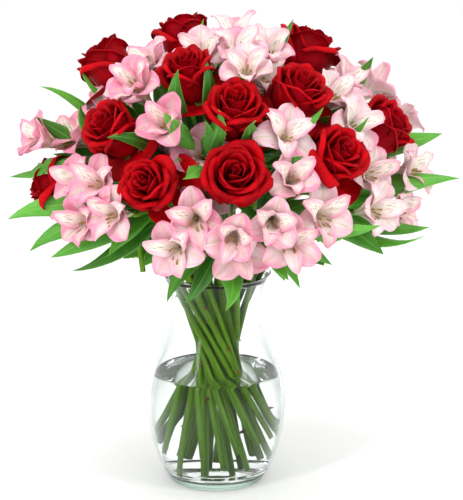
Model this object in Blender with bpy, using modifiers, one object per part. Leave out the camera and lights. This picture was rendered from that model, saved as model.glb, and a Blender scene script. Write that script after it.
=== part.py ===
"""A dozen red roses and pink alstroemeria, tied in a spiral and standing in a clear glass vase of water.

Metres, +Z up. The origin is the middle of the vase's flat base, the bouquet faces -Y, and +X is to the
right of someone who looks at its face. The vase is turned from one profile. Every stem is a straight
line through the vase, and the lines are the rulings of nested hyperboloids, as stems laid in a spiral
by hand are, so they pass close at the waist of the bunch and never cross. Above the rim each stem bends
to its own head. Heads are placed by bearing, tilt and reach from the middle of the bouquet.
"""

import bmesh
import bpy
import numpy as np
from math import acos, atan2, cos, degrees, pi, radians, sin, sqrt
from mathutils import Matrix, Vector
from mathutils.bvhtree import BVHTree

# Vase: the outside is a rounded base, a full belly, a waisted neck and a flared rim.
VASE_HEIGHT = 0.203
BASE_RADIUS = 0.040
BELLY_RADIUS = 0.066
BELLY_HEIGHT = 0.080
BELLY_FULLNESS = 1.8
NECK_RADIUS = 0.0415
NECK_BELOW_RIM = 0.031
RIM_RADIUS = 0.052
WALL = 0.003
BASE_THICKNESS = 0.008
FOOT_TURN = 0.003
WATER_LEVEL = 0.105
VASE_SEGMENTS = 32

# Bunch: stems cross at the waist, as tight as their thickness lets them.
WAIST_BELOW_RIM = 0.075
STEM_CLEARANCE = 0.0006
WALL_CLEARANCE = 0.0012
BUNCH_PACKING = 0.66
SPIRAL_TURN = 72
SLANT_ROOM = 1.13
FOOT_STAGGER = 0.014
STEM_PAST_RIM = 0.004
TOUCH_GAP = 0.0003

# Roses.
ROSE_STEM_RADIUS = 0.0032
HIP_LENGTH = 0.013
HIP_RADIUS = 0.0068
ROSE_RADIUS = 0.0315
ROSE_DEPTH = 0.052
ROSE_LOBES = 5

# Alstroemeria.
ALSTROEMERIA_STEM_RADIUS = 0.0025
PEDICEL_RADIUS = 0.0013
RECEPTACLE_LENGTH = 0.006
FLOWER_RADIUS = 0.020
FLOWER_DEPTH = 0.030
FLOWER_ROOM = 0.0165
UMBEL_REACH = 0.52
STRAIGHT_END = 0.020

# Leaves are blades that start inside their stem.
LEAF_THICKNESS = 0.0009
LEAF_SAG = 0.10
LEAF_DROP = 0.014
LEAF_STEP = 0.0006

# Heights that follow from the vase's height.
NECK_HEIGHT = VASE_HEIGHT - NECK_BELOW_RIM
WAIST_HEIGHT = VASE_HEIGHT - WAIST_BELOW_RIM

# Layout: (bearing from the front towards +X, tilt from upright, reach from the middle of the bouquet).
CENTRE_ABOVE_RIM = 0.042
BOUQUET_CENTRE = Vector((0.010, 0.0, VASE_HEIGHT + CENTRE_ABOVE_RIM))
ROSE_HEADS = (
    (-125, 16, 0.187), (-100, 37, 0.192), (-31, 28, 0.174), (-48, 49, 0.168),
    (-90, 73, 0.168), (-27, 65, 0.160), (4, 39, 0.169), (3, 61, 0.160),
    (111, 27, 0.187), (41, 34, 0.172), (46, 57, 0.165), (78, 55, 0.180),
)
UMBELS = (
    ((-91, 46, 0.174), (-89, 58, 0.176), (-88, 66, 0.183)),
    ((-71, 32, 0.175), (-98, 24, 0.181), (-140, 36, 0.178)),
    ((-43, 39, 0.171), (-29, 41, 0.169), (-34, 50, 0.148)),
    ((11, 13, 0.179), (-30, 14, 0.178), (170, 9, 0.187), (75, 13, 0.179)),
    ((17, 27, 0.174), (27, 47, 0.166), (42, 22, 0.168)),
    ((96, 37, 0.182), (103, 48, 0.198), (101, 60, 0.200)),
    ((60, 42, 0.170), (63, 51, 0.169), (64, 66, 0.165)),
    ((-51, 61, 0.165), (-43, 72, 0.161), (-55, 80, 0.162), (-64, 70, 0.164)),
    ((-20, 50, 0.138), (-16, 59, 0.130), (-13, 76, 0.157)),
    ((1, 80, 0.155), (-14, 89, 0.156), (4, 93, 0.150)),
    ((15, 78, 0.157), (19, 88, 0.156), (25, 62, 0.161), (36, 77, 0.159)),
    ((62, 78, 0.164), (87, 71, 0.188), (84, 86, 0.168)),
    ((122, 40, 0.170), (116, 57, 0.172), (128, 66, 0.166), (110, 74, 0.168), (142, 48, 0.162)),
    ((150, 72, 0.152), (166, 60, 0.154), (132, 84, 0.158), (176, 78, 0.146), (158, 88, 0.150)),
    ((180, 30, 0.172), (160, 40, 0.165), (-158, 38, 0.168), (178, 48, 0.158), (150, 24, 0.175)),
    ((-166, 60, 0.154), (-150, 72, 0.154), (-170, 86, 0.148), (-138, 58, 0.162), (-136, 84, 0.158)),
    ((-118, 48, 0.172), (-112, 62, 0.172), (-118, 76, 0.166), (-104, 84, 0.166)),
)
# Leaves: bearing, tilt and reach of the tip, and the width of the blade.
LEAVES = (
    (-81, 74, 0.208, 0.015), (-76, 82, 0.206, 0.021), (-90, 49, 0.227, 0.009), (-88, 40, 0.208, 0.014),
    (-84, 57, 0.208, 0.019), (-66, 45, 0.200, 0.014), (-21, 34, 0.204, 0.018), (-14, 24, 0.198, 0.013),
    (6, 33, 0.192, 0.012), (-100, 6, 0.203, 0.013), (-8, 43, 0.190, 0.016), (10, 48, 0.193, 0.015),
    (37, 45, 0.195, 0.015), (26, 54, 0.184, 0.014), (57, 49, 0.196, 0.014), (90, 38, 0.218, 0.017),
    (82, 75, 0.222, 0.023), (92, 64, 0.223, 0.020), (70, 80, 0.196, 0.014), (67, 88, 0.192, 0.013),
    (47, 79, 0.185, 0.015), (-71, 91, 0.188, 0.018), (-60, 86, 0.180, 0.018), (-52, 94, 0.172, 0.016),
    (-22, 101, 0.140, 0.014), (27, 99, 0.142, 0.012), (-40, 57, 0.188, 0.013), (100, 18, 0.201, 0.014),
    (112, 62, 0.205, 0.018), (128, 80, 0.190, 0.019), (146, 60, 0.186, 0.018), (160, 92, 0.176, 0.020),
    (178, 66, 0.182, 0.018), (-164, 50, 0.190, 0.018), (-160, 92, 0.176, 0.020), (-142, 70, 0.188, 0.018),
    (-124, 90, 0.190, 0.019), (-122, 60, 0.200, 0.017), (172, 20, 0.200, 0.016), (-104, 76, 0.200, 0.017),
)


# Where a leaf tip may shift, in degrees of bearing and tilt, to find a way between the heads.
LEAF_SHIFTS = (
    (0, 0), (5, 0), (-5, 0), (0, 5), (0, -5), (10, 0), (-10, 0), (7, 7), (-7, -7), (0, 12),
)


def in_direction(bearing, tilt):
    """The unit vector at this bearing round from -Y towards +X, and this tilt from upright, in degrees."""
    turn, lean = radians(bearing), radians(tilt)
    return Vector((sin(lean) * sin(turn), -sin(lean) * cos(turn), cos(lean)))


def push_apart(places, rooms, give, rounds=160):
    """Places moved until no two are nearer than the sum of their rooms; give is how readily each moves."""
    share = give[:, None] / (give[:, None] + give[None])
    need = rooms[:, None] + rooms[None]
    for _ in range(rounds):
        between = places[:, None] - places[None]
        distance = np.linalg.norm(between, axis=2)
        np.fill_diagonal(distance, np.inf)
        short = np.clip(need - distance, 0, None)
        places = places + 0.7 * (between / distance[..., None] * (share * short)[..., None]).sum(1)
    return places


# ---------------------------------------------------------------- vase and bunch


def outer_radius(height):
    """The vase's outside: a full curve to the belly, a soft S to the neck, and a parabola to the rim."""
    if height < BELLY_HEIGHT:
        drop = (BELLY_HEIGHT - height) / BELLY_HEIGHT
        full = (1 - drop**BELLY_FULLNESS) ** (1 / BELLY_FULLNESS)
        return BASE_RADIUS + (BELLY_RADIUS - BASE_RADIUS) * full
    if height < NECK_HEIGHT:
        rise = (height - BELLY_HEIGHT) / (NECK_HEIGHT - BELLY_HEIGHT)
        return BELLY_RADIUS + (NECK_RADIUS - BELLY_RADIUS) * (1 - cos(pi * rise)) / 2
    rise = (height - NECK_HEIGHT) / (VASE_HEIGHT - NECK_HEIGHT)
    return NECK_RADIUS + (RIM_RADIUS - NECK_RADIUS) * rise**2


def inner_radius(height):
    return outer_radius(height) - WALL


def stem_lean(edge, stem_radius):
    """Slope per metre from the waist at which a stem at the bunch's edge just clears the neck and rim."""
    slopes = []
    for height in np.linspace(WAIST_HEIGHT + 0.02, VASE_HEIGHT, 12):
        room = (inner_radius(height) - stem_radius - WALL_CLEARANCE) / edge
        slopes.append(sqrt(room**2 - 1) / (height - WAIST_HEIGHT))
    return min(slopes)


def lay_bunch(aims, radii):
    """Each stem's place at the waist, as a complex number, and the slope that all stems share.

    A stem starts from its head's side of the bunch, turned back by as much as the spiral carries it
    round on its way up, and a head that leans far out starts near the edge. Then the stems are pushed
    apart to touch lightly, with room for their slant, and held inside the waist's circle.
    """
    radii = np.array(radii) + STEM_CLEARANCE / 2
    room = radii * SLANT_ROOM
    waist = sqrt((room**2).sum() / BUNCH_PACKING)
    edge = waist - max(radii)
    bearing = np.array([atan2(aim.y, aim.x) for aim in aims]) + radians(SPIRAL_TURN)
    lean = np.array([degrees(acos(aim.z)) / 90 for aim in aims])
    outward = edge * np.clip(lean, 0.05, 1) ** 0.8
    places = outward[:, None] * np.c_[np.cos(bearing), np.sin(bearing)]
    for _ in range(60):
        places = push_apart(places, room, np.ones(len(aims)), 6)
        size = np.linalg.norm(places, axis=1, keepdims=True)
        places *= np.minimum(1, edge / size)
    return places[:, 0] + 1j * places[:, 1], stem_lean(edge, max(radii))


def in_bunch(place, lean, height):
    """Where the stem that passes the waist at this place is at another height."""
    there = place * (1 - 1j * lean * (height - WAIST_HEIGHT))
    return Vector((there.real, there.imag, height))


def foot_height(place, lean, radius, number):
    """The lowest height a stem reaches before the glass stops it, cut a little shorter by its number."""
    step = 0.001
    height = WAIST_HEIGHT
    low = BASE_THICKNESS + radius + WALL_CLEARANCE
    while height > low:
        out = abs(place * (1 - 1j * lean * (height - WAIST_HEIGHT)))
        if out + radius * 1.5 + WALL_CLEARANCE > inner_radius(height):
            break
        height -= step
    golden = 0.618
    return height + 2 * step + FOOT_STAGGER * (number * golden % 1)


def bend(start, leaving, end, arriving, count, ease=0.38):
    """Points on the cubic from start, leaving along one direction, to end, arriving along the other."""
    reach = (end - start).length * ease
    a, b = start + leaving * reach, end - arriving * reach
    points = []
    for step in range(1, count + 1):
        t = step / count
        s = 1 - t
        points.append(start * s**3 + a * (3 * s * s * t) + b * (3 * s * t * t) + end * t**3)
    return points


def stem_route(place, lean, foot, end, arriving, count, ease=0.38):
    """Straight from the foot to just past the rim, then one bend to the end."""
    bottom = in_bunch(place, lean, foot)
    mouth = in_bunch(place, lean, VASE_HEIGHT + STEM_PAST_RIM)
    return [bottom, mouth] + bend(mouth, (mouth - bottom).normalized(), end, arriving, count, ease)


# ---------------------------------------------------------------- solids


def finish(name, colour, roughness, alpha=1.0):
    """A material with this colour, roughness and opacity."""
    material = bpy.data.materials.new(name)
    material.use_nodes = True
    surface = material.node_tree.nodes["Principled BSDF"]
    surface.inputs["Base Color"].default_value = (*colour, 1)
    surface.inputs["Roughness"].default_value = roughness
    surface.inputs["Metallic"].default_value = 0.0
    surface.inputs["Alpha"].default_value = alpha
    return material


def add_object(name, data, collection):
    thing = bpy.data.objects.new(name, data)
    collection.objects.link(thing)
    return thing


def add_helper(name, data):
    """A piece that another is joined to or cut by, and that is no part itself."""
    helper = add_object(name, data, helpers)
    helper.hide_render = True
    helper.display_type = "WIRE"
    return helper


def turned(name, profile, collection):
    """A profile of (radius, height) turned about +Z with Screw."""
    mesh = bpy.data.meshes.new(name)
    corners = [(radius, 0, height) for radius, height in profile]
    mesh.from_pydata(corners, [(i, i + 1) for i in range(len(corners) - 1)], [])
    thing = add_object(name, mesh, collection)
    screw = thing.modifiers.new("turn", "SCREW")
    screw.steps = screw.render_steps = VASE_SEGMENTS
    screw.use_merge_vertices = True
    screw.merge_threshold = 0.00005
    return thing


def tube(points, radii, sides):
    """The mesh of a tube through the points, its ends closed, with a radius at each point."""
    curve = bpy.data.curves.new("tube", "CURVE")
    curve.dimensions = "3D"
    curve.bevel_depth = 1.0
    curve.bevel_resolution = sides // 2 - 2
    curve.use_fill_caps = True
    spline = curve.splines.new("POLY")
    spline.points.add(len(points) - 1)
    for corner, point, radius in zip(spline.points, points, radii):
        corner.co = (*point, 1)
        corner.radius = radius
    guide = add_helper("guide", curve)
    bpy.context.view_layer.update()
    graph = bpy.context.evaluated_depsgraph_get()
    mesh = bpy.data.meshes.new_from_object(guide.evaluated_get(graph))
    bpy.data.objects.remove(guide)
    bm = bmesh.new()
    bm.from_mesh(mesh)
    bmesh.ops.remove_doubles(bm, verts=bm.verts, dist=0.00001)
    bmesh.ops.recalc_face_normals(bm, faces=bm.faces)
    bm.to_mesh(mesh)
    bm.free()
    return mesh


def placed_along(axis, origin, turn=0.0):
    """The matrix that stands a shape made on +Z at the origin, along the axis, turned about it."""
    stand = axis.to_track_quat("Z", "Y").to_matrix().to_4x4()
    return Matrix.Translation(origin) @ stand @ Matrix.Rotation(turn, 4, "Z")


def shaped_sphere(profile, lobed, lobes, depth, segments):
    """A sphere's rings drawn to the profile's (radius, height), the lobed ones waved in and out."""
    bm = bmesh.new()
    bmesh.ops.create_uvsphere(bm, u_segments=segments, v_segments=len(profile) - 1, radius=1)
    for vert in bm.verts:
        ring = round((1 - acos(max(-1, min(1, vert.co.z))) / pi) * (len(profile) - 1))
        radius, height = profile[ring]
        turn = atan2(vert.co.y, vert.co.x)
        if ring in lobed:
            radius *= 1 - depth * (1 - cos(lobes * turn)) / 2
        vert.co = (radius * cos(turn), radius * sin(turn), height)
    bmesh.ops.recalc_face_normals(bm, faces=bm.faces)
    mesh = bpy.data.meshes.new("rings")
    bm.to_mesh(mesh)
    bm.free()
    return mesh


def rose_head():
    """A high-centred bloom: a round cup of petals, a curled lip, a dip, and the furled bud inside."""
    profile = (
        (0, 0), (0.40, 0.03), (0.78, 0.20), (0.97, 0.46),
        (1.0, 0.72), (0.88, 0.90), (0.62, 0.84), (0.40, 0.97), (0, 1.0),
    )
    rings = [(radius * ROSE_RADIUS, height * ROSE_DEPTH) for radius, height in profile]
    return shaped_sphere(rings, (3, 4, 5), ROSE_LOBES, 0.10, 10)


def trumpet():
    """An alstroemeria flower: a narrow throat that opens into six tepals."""
    profile = ((0, 0), (0.24, 0.34), (1.0, 1.0), (0, 0.55))
    rings = [(radius * FLOWER_RADIUS, height * FLOWER_DEPTH) for radius, height in profile]
    return shaped_sphere(rings, (2,), 6, 0.42, 12)


def blade(base, tip, width, side_bow):
    """A leaf from base to tip: rectangles carried along a sagging bow, widest before its middle."""
    along = tip - base
    across = along.cross(BOUQUET_CENTRE - (base + tip) / 2).normalized()
    if across.length < 0.5:
        across = along.orthogonal().normalized()
    out = across.cross(along).normalized()
    if out.dot(tip - BOUQUET_CENTRE) < 0:
        out = -out
    middle = (base + tip) / 2 + out * along.length * LEAF_SAG + across * side_bow
    bm = bmesh.new()
    sections = []
    for t, share in ((0, 0.16), (0.3, 0.9), (0.62, 0.85), (1, 0.06)):
        centre = base * (1 - t) ** 2 + middle * (2 * t * (1 - t)) + tip * t**2
        half, thick = across * width * share / 2, out * LEAF_THICKNESS / 2
        low, high = centre - thick, centre + thick
        corners = (low - half, low + half, high + half, high - half)
        sections.append([bm.verts.new(corner) for corner in corners])
    for low, high in zip(sections, sections[1:]):
        for i in range(4):
            bm.faces.new((low[i], low[(i + 1) % 4], high[(i + 1) % 4], high[i]))
    bm.faces.new(sections[0][::-1])
    bm.faces.new(sections[-1])
    bmesh.ops.recalc_face_normals(bm, faces=bm.faces)
    mesh = bpy.data.meshes.new("blade")
    bm.to_mesh(mesh)
    bm.free()
    return mesh


# ---------------------------------------------------------------- keeping pieces clear of each other


def surface_tree(mesh, matrix=Matrix.Identity(4), swell=0.0):
    """A search tree of the mesh's faces where the matrix puts them, swollen along its normals."""
    corners = [matrix @ (vert.co + vert.normal * swell) for vert in mesh.vertices]
    return BVHTree.FromPolygons(corners, [face.vertices[:] for face in mesh.polygons])


def first_free(choices, owner):
    """The first choice, a list of (mesh, matrix), that meets no solid of another owner."""
    fewest, best = None, None
    for pieces in choices:
        met = 0
        for mesh, matrix in pieces:
            tree = surface_tree(mesh, matrix, TOUCH_GAP)
            for other, solid in standing:
                if other != owner and tree.overlap(solid):
                    met += 1
        if fewest is None or met < fewest:
            fewest, best = met, pieces
        if met == 0:
            break
    if fewest:
        print(f"{owner}: the best choice still meets {fewest}")
    for mesh, matrix in best:
        standing.append((owner, surface_tree(mesh, matrix)))
    return best


def join(first, others):
    """The first object joined to the others by Boolean unions."""
    for mesh, matrix in others:
        helper = add_helper(first.name + "_piece", mesh)
        helper.matrix_world = matrix
        union = first.modifiers.new("join", "BOOLEAN")
        union.operation = "UNION"
        union.solver = "EXACT"
        union.object = helper


for thing in list(bpy.data.objects):
    bpy.data.objects.remove(thing, do_unlink=True)
bouquet = bpy.data.collections.new("roses_in_a_vase")
helpers = bpy.data.collections.new("helpers")
bpy.context.scene.collection.children.link(bouquet)
bpy.context.scene.collection.children.link(helpers)
standing = []

glass = finish("clear glass", (0.93, 0.96, 0.95), 0.03, 0.3)
water = finish("water", (0.93, 0.97, 0.95), 0.02, 0.35)
red = finish("red petals", (0.38, 0.006, 0.012), 0.55)
pink = finish("pink tepals", (0.82, 0.50, 0.56), 0.5)
green = finish("green stem", (0.10, 0.22, 0.035), 0.5)

# The vase, an open shell with a flat base. The water meets the glass at the same heights.
wet_heights = list(np.linspace(BASE_THICKNESS, WATER_LEVEL, 7))
dry_heights = list(np.linspace(WATER_LEVEL, VASE_HEIGHT - WALL / 2, 7))[1:]
inside = [(inner_radius(height), height) for height in wet_heights + dry_heights]
lip = [(RIM_RADIUS - WALL / 2, VASE_HEIGHT)]
outside_heights = list(np.linspace(VASE_HEIGHT - WALL / 2, FOOT_TURN, 12)) + [0]
outside = [(outer_radius(height), height) for height in outside_heights]
vase = turned("vase", [(0, BASE_THICKNESS)] + inside + lip + outside + [(0, 0)], bouquet)
vase.data.materials.append(glass)

# Where every head stands, after blooms and flowers have made room for each other.
aims = [in_direction(bearing, tilt) for bearing, tilt, _ in ROSE_HEADS]
heads = [BOUQUET_CENTRE + aim * reach for aim, (_, _, reach) in zip(aims, ROSE_HEADS)]
flowers = [BOUQUET_CENTRE + in_direction(b, t) * reach for umbel in UMBELS for b, t, reach in umbel]
rooms = [ROSE_RADIUS] * len(heads) + [FLOWER_ROOM] * len(flowers)
gives = [0.3] * len(heads) + [1.0] * len(flowers)
wanted = np.array([list(place) for place in heads + flowers])
spread = [Vector(place) for place in push_apart(wanted, np.array(rooms), np.array(gives))]
heads, flowers = spread[: len(heads)], spread[len(heads) :]
umbels = []
for umbel in UMBELS:
    umbels.append(flowers[: len(umbel)])
    flowers = flowers[len(umbel) :]
apexes = []
for umbel in umbels:
    middle = sum(umbel, Vector()) / len(umbel)
    apexes.append(BOUQUET_CENTRE + (middle - BOUQUET_CENTRE) * UMBEL_REACH)
aims = [(head - BOUQUET_CENTRE).normalized() for head in heads]
umbel_aims = [(apex - BOUQUET_CENTRE).normalized() for apex in apexes]

stem_radii = [ROSE_STEM_RADIUS] * len(heads) + [ALSTROEMERIA_STEM_RADIUS] * len(umbels)
places, lean = lay_bunch(aims + umbel_aims, stem_radii)
feet = []
for number, (place, radius) in enumerate(zip(places, stem_radii)):
    feet.append(foot_height(place, lean, radius, number))

# Roses: the bloom sits on the hip that ends its stem.
bloom_mesh = rose_head()
for number, (head, aim) in enumerate(zip(heads, aims), 1):
    base = head - aim * ROSE_DEPTH / 2
    hip = base - aim * TOUCH_GAP
    neck = hip - aim * HIP_LENGTH
    route = stem_route(places[number - 1], lean, feet[number - 1], neck, aim, 7)
    radii = [ROSE_STEM_RADIUS] * len(route) + [HIP_RADIUS, HIP_RADIUS]
    stem_mesh = tube(route + [neck + aim * HIP_LENGTH * 0.6, hip], radii, 6)
    standing.append((f"rose_stem_{number:02d}", surface_tree(stem_mesh)))
    stem = add_object(f"rose_stem_{number:02d}", stem_mesh, bouquet)
    stem.data.materials.append(green)
    bloom = add_object(f"rose_bloom_{number:02d}", bloom_mesh.copy(), bouquet)
    bloom.matrix_world = placed_along(aim, base, number * 0.9)
    bloom.data.materials.append(red)
    standing.append((bloom.name, surface_tree(bloom_mesh, bloom.matrix_world)))

# Alstroemeria stems, bowed aside where a rose stem is in the way.
stems = []
for number, (apex, aim) in enumerate(zip(apexes, umbel_aims), 1):
    index = len(heads) + number - 1
    name = f"alstroemeria_stem_{number:02d}"
    choices, ends = [], []
    for ease in (0.38, 0.3, 0.46, 0.22, 0.54):
        for slip in (0, 0.006, -0.006, 0.012, -0.012, 0.018, -0.018):
            end = apex + aim.orthogonal().normalized() * slip
            below = end - aim * STRAIGHT_END
            route = stem_route(places[index], lean, feet[index], below, aim, 5, ease) + [end]
            mesh = tube(route, [ALSTROEMERIA_STEM_RADIUS] * len(route), 6)
            choices.append([(mesh, Matrix.Identity(4))])
            ends.append(end)
    chosen = first_free(choices, name)
    apexes[number - 1] = ends[choices.index(chosen)]
    stem = add_object(name, chosen[0][0], bouquet)
    stem.data.materials.append(green)
    stems.append(stem)

# Umbels: a receptacle on the stem's end, and a bent pedicel to each flower.
flower_mesh = trumpet()
for number, (apex, aim, umbel) in enumerate(zip(apexes, umbel_aims, umbels), 1):
    name = f"alstroemeria_umbel_{number:02d}"
    bm = bmesh.new()
    bmesh.ops.create_cone(
        bm, cap_ends=True, segments=8, radius1=0.0030, radius2=0.0022, depth=RECEPTACLE_LENGTH
    )
    receptacle_mesh = bpy.data.meshes.new(name)
    bm.to_mesh(receptacle_mesh)
    bm.free()
    receptacle = add_object(name, receptacle_mesh, bouquet)
    receptacle.matrix_world = placed_along(aim, apex + aim * (TOUCH_GAP + RECEPTACLE_LENGTH / 2))
    receptacle.data.materials.append(pink)
    standing.append((name, surface_tree(receptacle_mesh, receptacle.matrix_world)))
    start = apex + aim * (TOUCH_GAP + RECEPTACLE_LENGTH * 0.6)
    pieces = []
    for place in umbel:
        facing = (place - BOUQUET_CENTRE).normalized()
        side = facing.orthogonal().normalized()
        choices = []
        for twist in (0, 30):
            for slip in (0, 0.007, 0.014, 0.021):
                for round_about in (0, 60, 120, 180, 240, 300):
                    if slip == 0 and round_about:
                        continue
                    aside = Matrix.Rotation(radians(round_about), 3, facing) @ side * slip
                    base = place - facing * FLOWER_DEPTH * 0.6
                    leaving = (base + aside * 2 - start).normalized()
                    arriving = (facing * 0.03 - aside).normalized()
                    route = [start] + bend(start, leaving, base + arriving * 0.006, arriving, 2)
                    pedicel = tube(route, [PEDICEL_RADIUS] * len(route), 4)
                    stand = placed_along(arriving, base, radians(twist))
                    choices.append([(flower_mesh, stand), (pedicel, Matrix.Identity(4))])
        pieces += first_free(choices, name)
    join(receptacle, pieces)

# Leaves grow from the top of the alstroemeria stem that points nearest to their tip.
leaves_on = [0] * len(stems)
for bearing, tilt, reach, width in LEAVES:
    aim = in_direction(bearing, tilt)
    owner = max(range(len(apexes)), key=lambda i: aim.dot(umbel_aims[i]))
    joint = apexes[owner] - umbel_aims[owner] * (LEAF_DROP + LEAF_STEP * leaves_on[owner])
    leaves_on[owner] += 1
    away = BOUQUET_CENTRE + aim * reach - joint
    away = (away - umbel_aims[owner] * away.dot(umbel_aims[owner])).normalized()
    base = joint + away * ALSTROEMERIA_STEM_RADIUS * 0.3
    choices = []
    for narrow in (1, 0.75, 0.5):
        for bow in (0, 0.012, -0.012, 0.024, -0.024):
            for turn, nod in LEAF_SHIFTS:
                tip = BOUQUET_CENTRE + in_direction(bearing + turn, tilt + nod) * reach
                choices.append([(blade(base, tip, width * narrow, bow), Matrix.Identity(4))])
    join(stems[owner], first_free(choices, stems[owner].name))

# The water fills the vase to its level, round every stem.
side = [(inner_radius(height) - 1.5 * TOUCH_GAP, height) for height in wet_heights[:0:-1]]
corner = (inner_radius(BASE_THICKNESS) - TOUCH_GAP, BASE_THICKNESS + TOUCH_GAP)
body = turned("water", [(0, WATER_LEVEL)] + side + [corner, (0, BASE_THICKNESS + TOUCH_GAP)], bouquet)
body.data.materials.append(water)
for place, foot, radius in zip(places, feet, stem_radii):
    bottom = in_bunch(place, lean, foot)
    top = in_bunch(place, lean, WATER_LEVEL + 0.010)
    down = (bottom - top).normalized()
    channel = add_helper("channel", tube([bottom + down * TOUCH_GAP, top], [radius + TOUCH_GAP] * 2, 6))
    cut = body.modifiers.new("cut", "BOOLEAN")
    cut.operation = "DIFFERENCE"
    cut.solver = "EXACT"
    cut.object = channel
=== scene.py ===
# %% [markdown]
# # A dozen red roses and pink alstroemeria in a clear glass vase
#
# The lesson builds a florist's bouquet around a finished frame. The frame says how large the vase is and
# where each stem, bloom and flower head stands. Here every solid of the frame gets its real surface:
# turned glass, petals that furl and roll, spotted tepals, ribbed leaves and thorny stems.
# Lengths are metres, +Z is up, and the bouquet faces -Y.

import bmesh
import bpy
import numpy as np
from mathutils import Matrix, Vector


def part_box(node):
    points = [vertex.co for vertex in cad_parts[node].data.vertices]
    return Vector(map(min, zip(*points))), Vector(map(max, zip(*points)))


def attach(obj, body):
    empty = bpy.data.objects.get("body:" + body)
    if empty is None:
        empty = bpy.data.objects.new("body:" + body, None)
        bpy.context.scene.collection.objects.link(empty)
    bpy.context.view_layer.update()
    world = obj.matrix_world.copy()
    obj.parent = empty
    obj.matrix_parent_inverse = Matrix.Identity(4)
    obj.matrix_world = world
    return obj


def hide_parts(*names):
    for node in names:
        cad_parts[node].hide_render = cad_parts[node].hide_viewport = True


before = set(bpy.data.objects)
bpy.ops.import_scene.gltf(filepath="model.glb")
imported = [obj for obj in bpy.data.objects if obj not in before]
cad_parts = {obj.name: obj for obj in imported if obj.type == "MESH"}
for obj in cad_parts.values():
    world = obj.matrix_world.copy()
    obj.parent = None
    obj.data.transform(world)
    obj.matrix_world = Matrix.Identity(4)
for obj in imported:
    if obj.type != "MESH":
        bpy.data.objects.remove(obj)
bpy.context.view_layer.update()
print("frame nodes:", len(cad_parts))

# %% [markdown]
# ## Small helpers
#
# A petal, a leaf, a stem and a vase are all the same kind of thing to a mesh: a grid of points, so many
# steps along and so many across. One function turns any stack of grids into a mesh, with a UV map that
# runs across (U) and along (V) each of them, and an attribute that gives each sheet its own tint. The
# faces come from index arithmetic on whole arrays, which stays fast for thousands of faces.

# %% Grids of points to meshes
MILLIMETRE = 0.001


def unit(vectors):
    """Each vector divided by its length."""
    return vectors / np.linalg.norm(vectors, axis=-1, keepdims=True)


def smooth(x):
    """The smooth step 3x^2 - 2x^3 between 0 and 1, flat outside."""
    x = np.clip(x, 0, 1)
    return x * x * (3 - 2 * x)


def grid_faces(rows, columns, wrap):
    """Corner numbers and UV corners of the quads of one grid, which closes on itself across if it wraps."""
    across = columns if wrap else columns - 1
    i, j = np.meshgrid(np.arange(rows - 1), np.arange(across), indexing="ij")
    right = (j + 1) % columns
    first, above = i * columns, (i + 1) * columns
    quads = np.stack([first + j, first + right, above + right, above + j], -1)
    u, v = j / across, i / (rows - 1)
    du, dv = 1 / across, 1 / (rows - 1)
    corners = np.stack([u, v, u + du, v, u + du, v + dv, u, v + dv], -1)
    return quads.reshape(-1, 4), corners.reshape(-1, 8)


def surface(name, parts, finishes, thickness=0.0, two_faced=False):
    """A smooth mesh object from parts, each of them grids, wrap, finish number, and tint and marks of each
    grid. A thickness makes the sheets solid, and two_faced gives their inner side the next finish."""
    points, quads, corners, tints, marks, numbers = [], [], [], [], [], []
    total = 0
    for grids, wrap, number, tint, mark in parts:
        grids = np.asarray(grids, float)
        count, rows, columns = grids.shape[:3]
        face, corner = grid_faces(rows, columns, wrap)
        shift = total + np.arange(count)[:, None, None] * rows * columns
        quads.append((face[None] + shift).reshape(-1, 4))
        corners.append(np.tile(corner, (count, 1)))
        points.append(grids.reshape(-1, 3))
        tints.append(np.repeat(np.broadcast_to(tint, count), rows * columns))
        marks.append(np.repeat(np.broadcast_to(mark, count), rows * columns))
        numbers.append(np.full(count * len(face), number))
        total += count * rows * columns
    mesh = bpy.data.meshes.new(name)
    mesh.from_pydata(np.concatenate(points).tolist(), [], np.concatenate(quads).tolist())
    mesh.uv_layers.new(name="UVMap").data.foreach_set("uv", np.concatenate(corners).ravel())
    mesh.attributes.new("tint", "FLOAT", "POINT").data.foreach_set("value", np.concatenate(tints))
    mesh.attributes.new("marks", "FLOAT", "POINT").data.foreach_set("value", np.concatenate(marks))
    mesh.polygons.foreach_set("material_index", np.concatenate(numbers).astype(np.int32))
    if any(part[1] for part in parts):
        close_poles(mesh)
    mesh.shade_smooth()
    thing = bpy.data.objects.new(name, mesh)
    bpy.context.scene.collection.objects.link(thing)
    for finish in finishes:
        mesh.materials.append(finish)
    if thickness:
        wall = thing.modifiers.new("sheet", "SOLIDIFY")
        wall.thickness = thickness
        wall.offset = -1.0
        wall.use_even_offset = False
        wall.material_offset = 1 if two_faced else 0
    return thing


def close_poles(mesh):
    """Points that meet at a pole or a tip made one."""
    bm = bmesh.new()
    bm.from_mesh(mesh)
    bmesh.ops.remove_doubles(bm, verts=bm.verts, dist=1e-6)
    bm.to_mesh(mesh)
    bm.free()


def carried(paths, radii, sides):
    """Tubes: a ring round each point of each path, square to it, closed at both ends by a point.

    A ring's points are path + radius * (side * cos(a) + up * sin(a)), a going once round.
    """
    along = unit(np.gradient(paths, axis=-2))
    turn = np.cross(along[..., 0, :], along[..., -1, :])
    straight = np.linalg.norm(turn, axis=-1, keepdims=True) < 1e-3
    turn = np.where(straight, np.cross(along[..., 0, :], [0.31, 0.53, 0.79]), turn)[..., None, :]
    side = unit(turn - along * (along * turn).sum(-1, keepdims=True))
    up = np.cross(along, side)
    a = np.arange(sides) / sides * 2 * np.pi
    ring = side[..., None, :] * np.cos(a)[:, None] + up[..., None, :] * np.sin(a)[:, None]
    body = paths[..., None, :] + ring * np.broadcast_to(radii, paths.shape[:-1])[..., None, None]
    ends = np.repeat(paths[..., [0, -1], None, :], sides, axis=-2)
    return np.concatenate([ends[..., :1, :, :], body, ends[..., 1:, :, :]], axis=-3)


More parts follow.
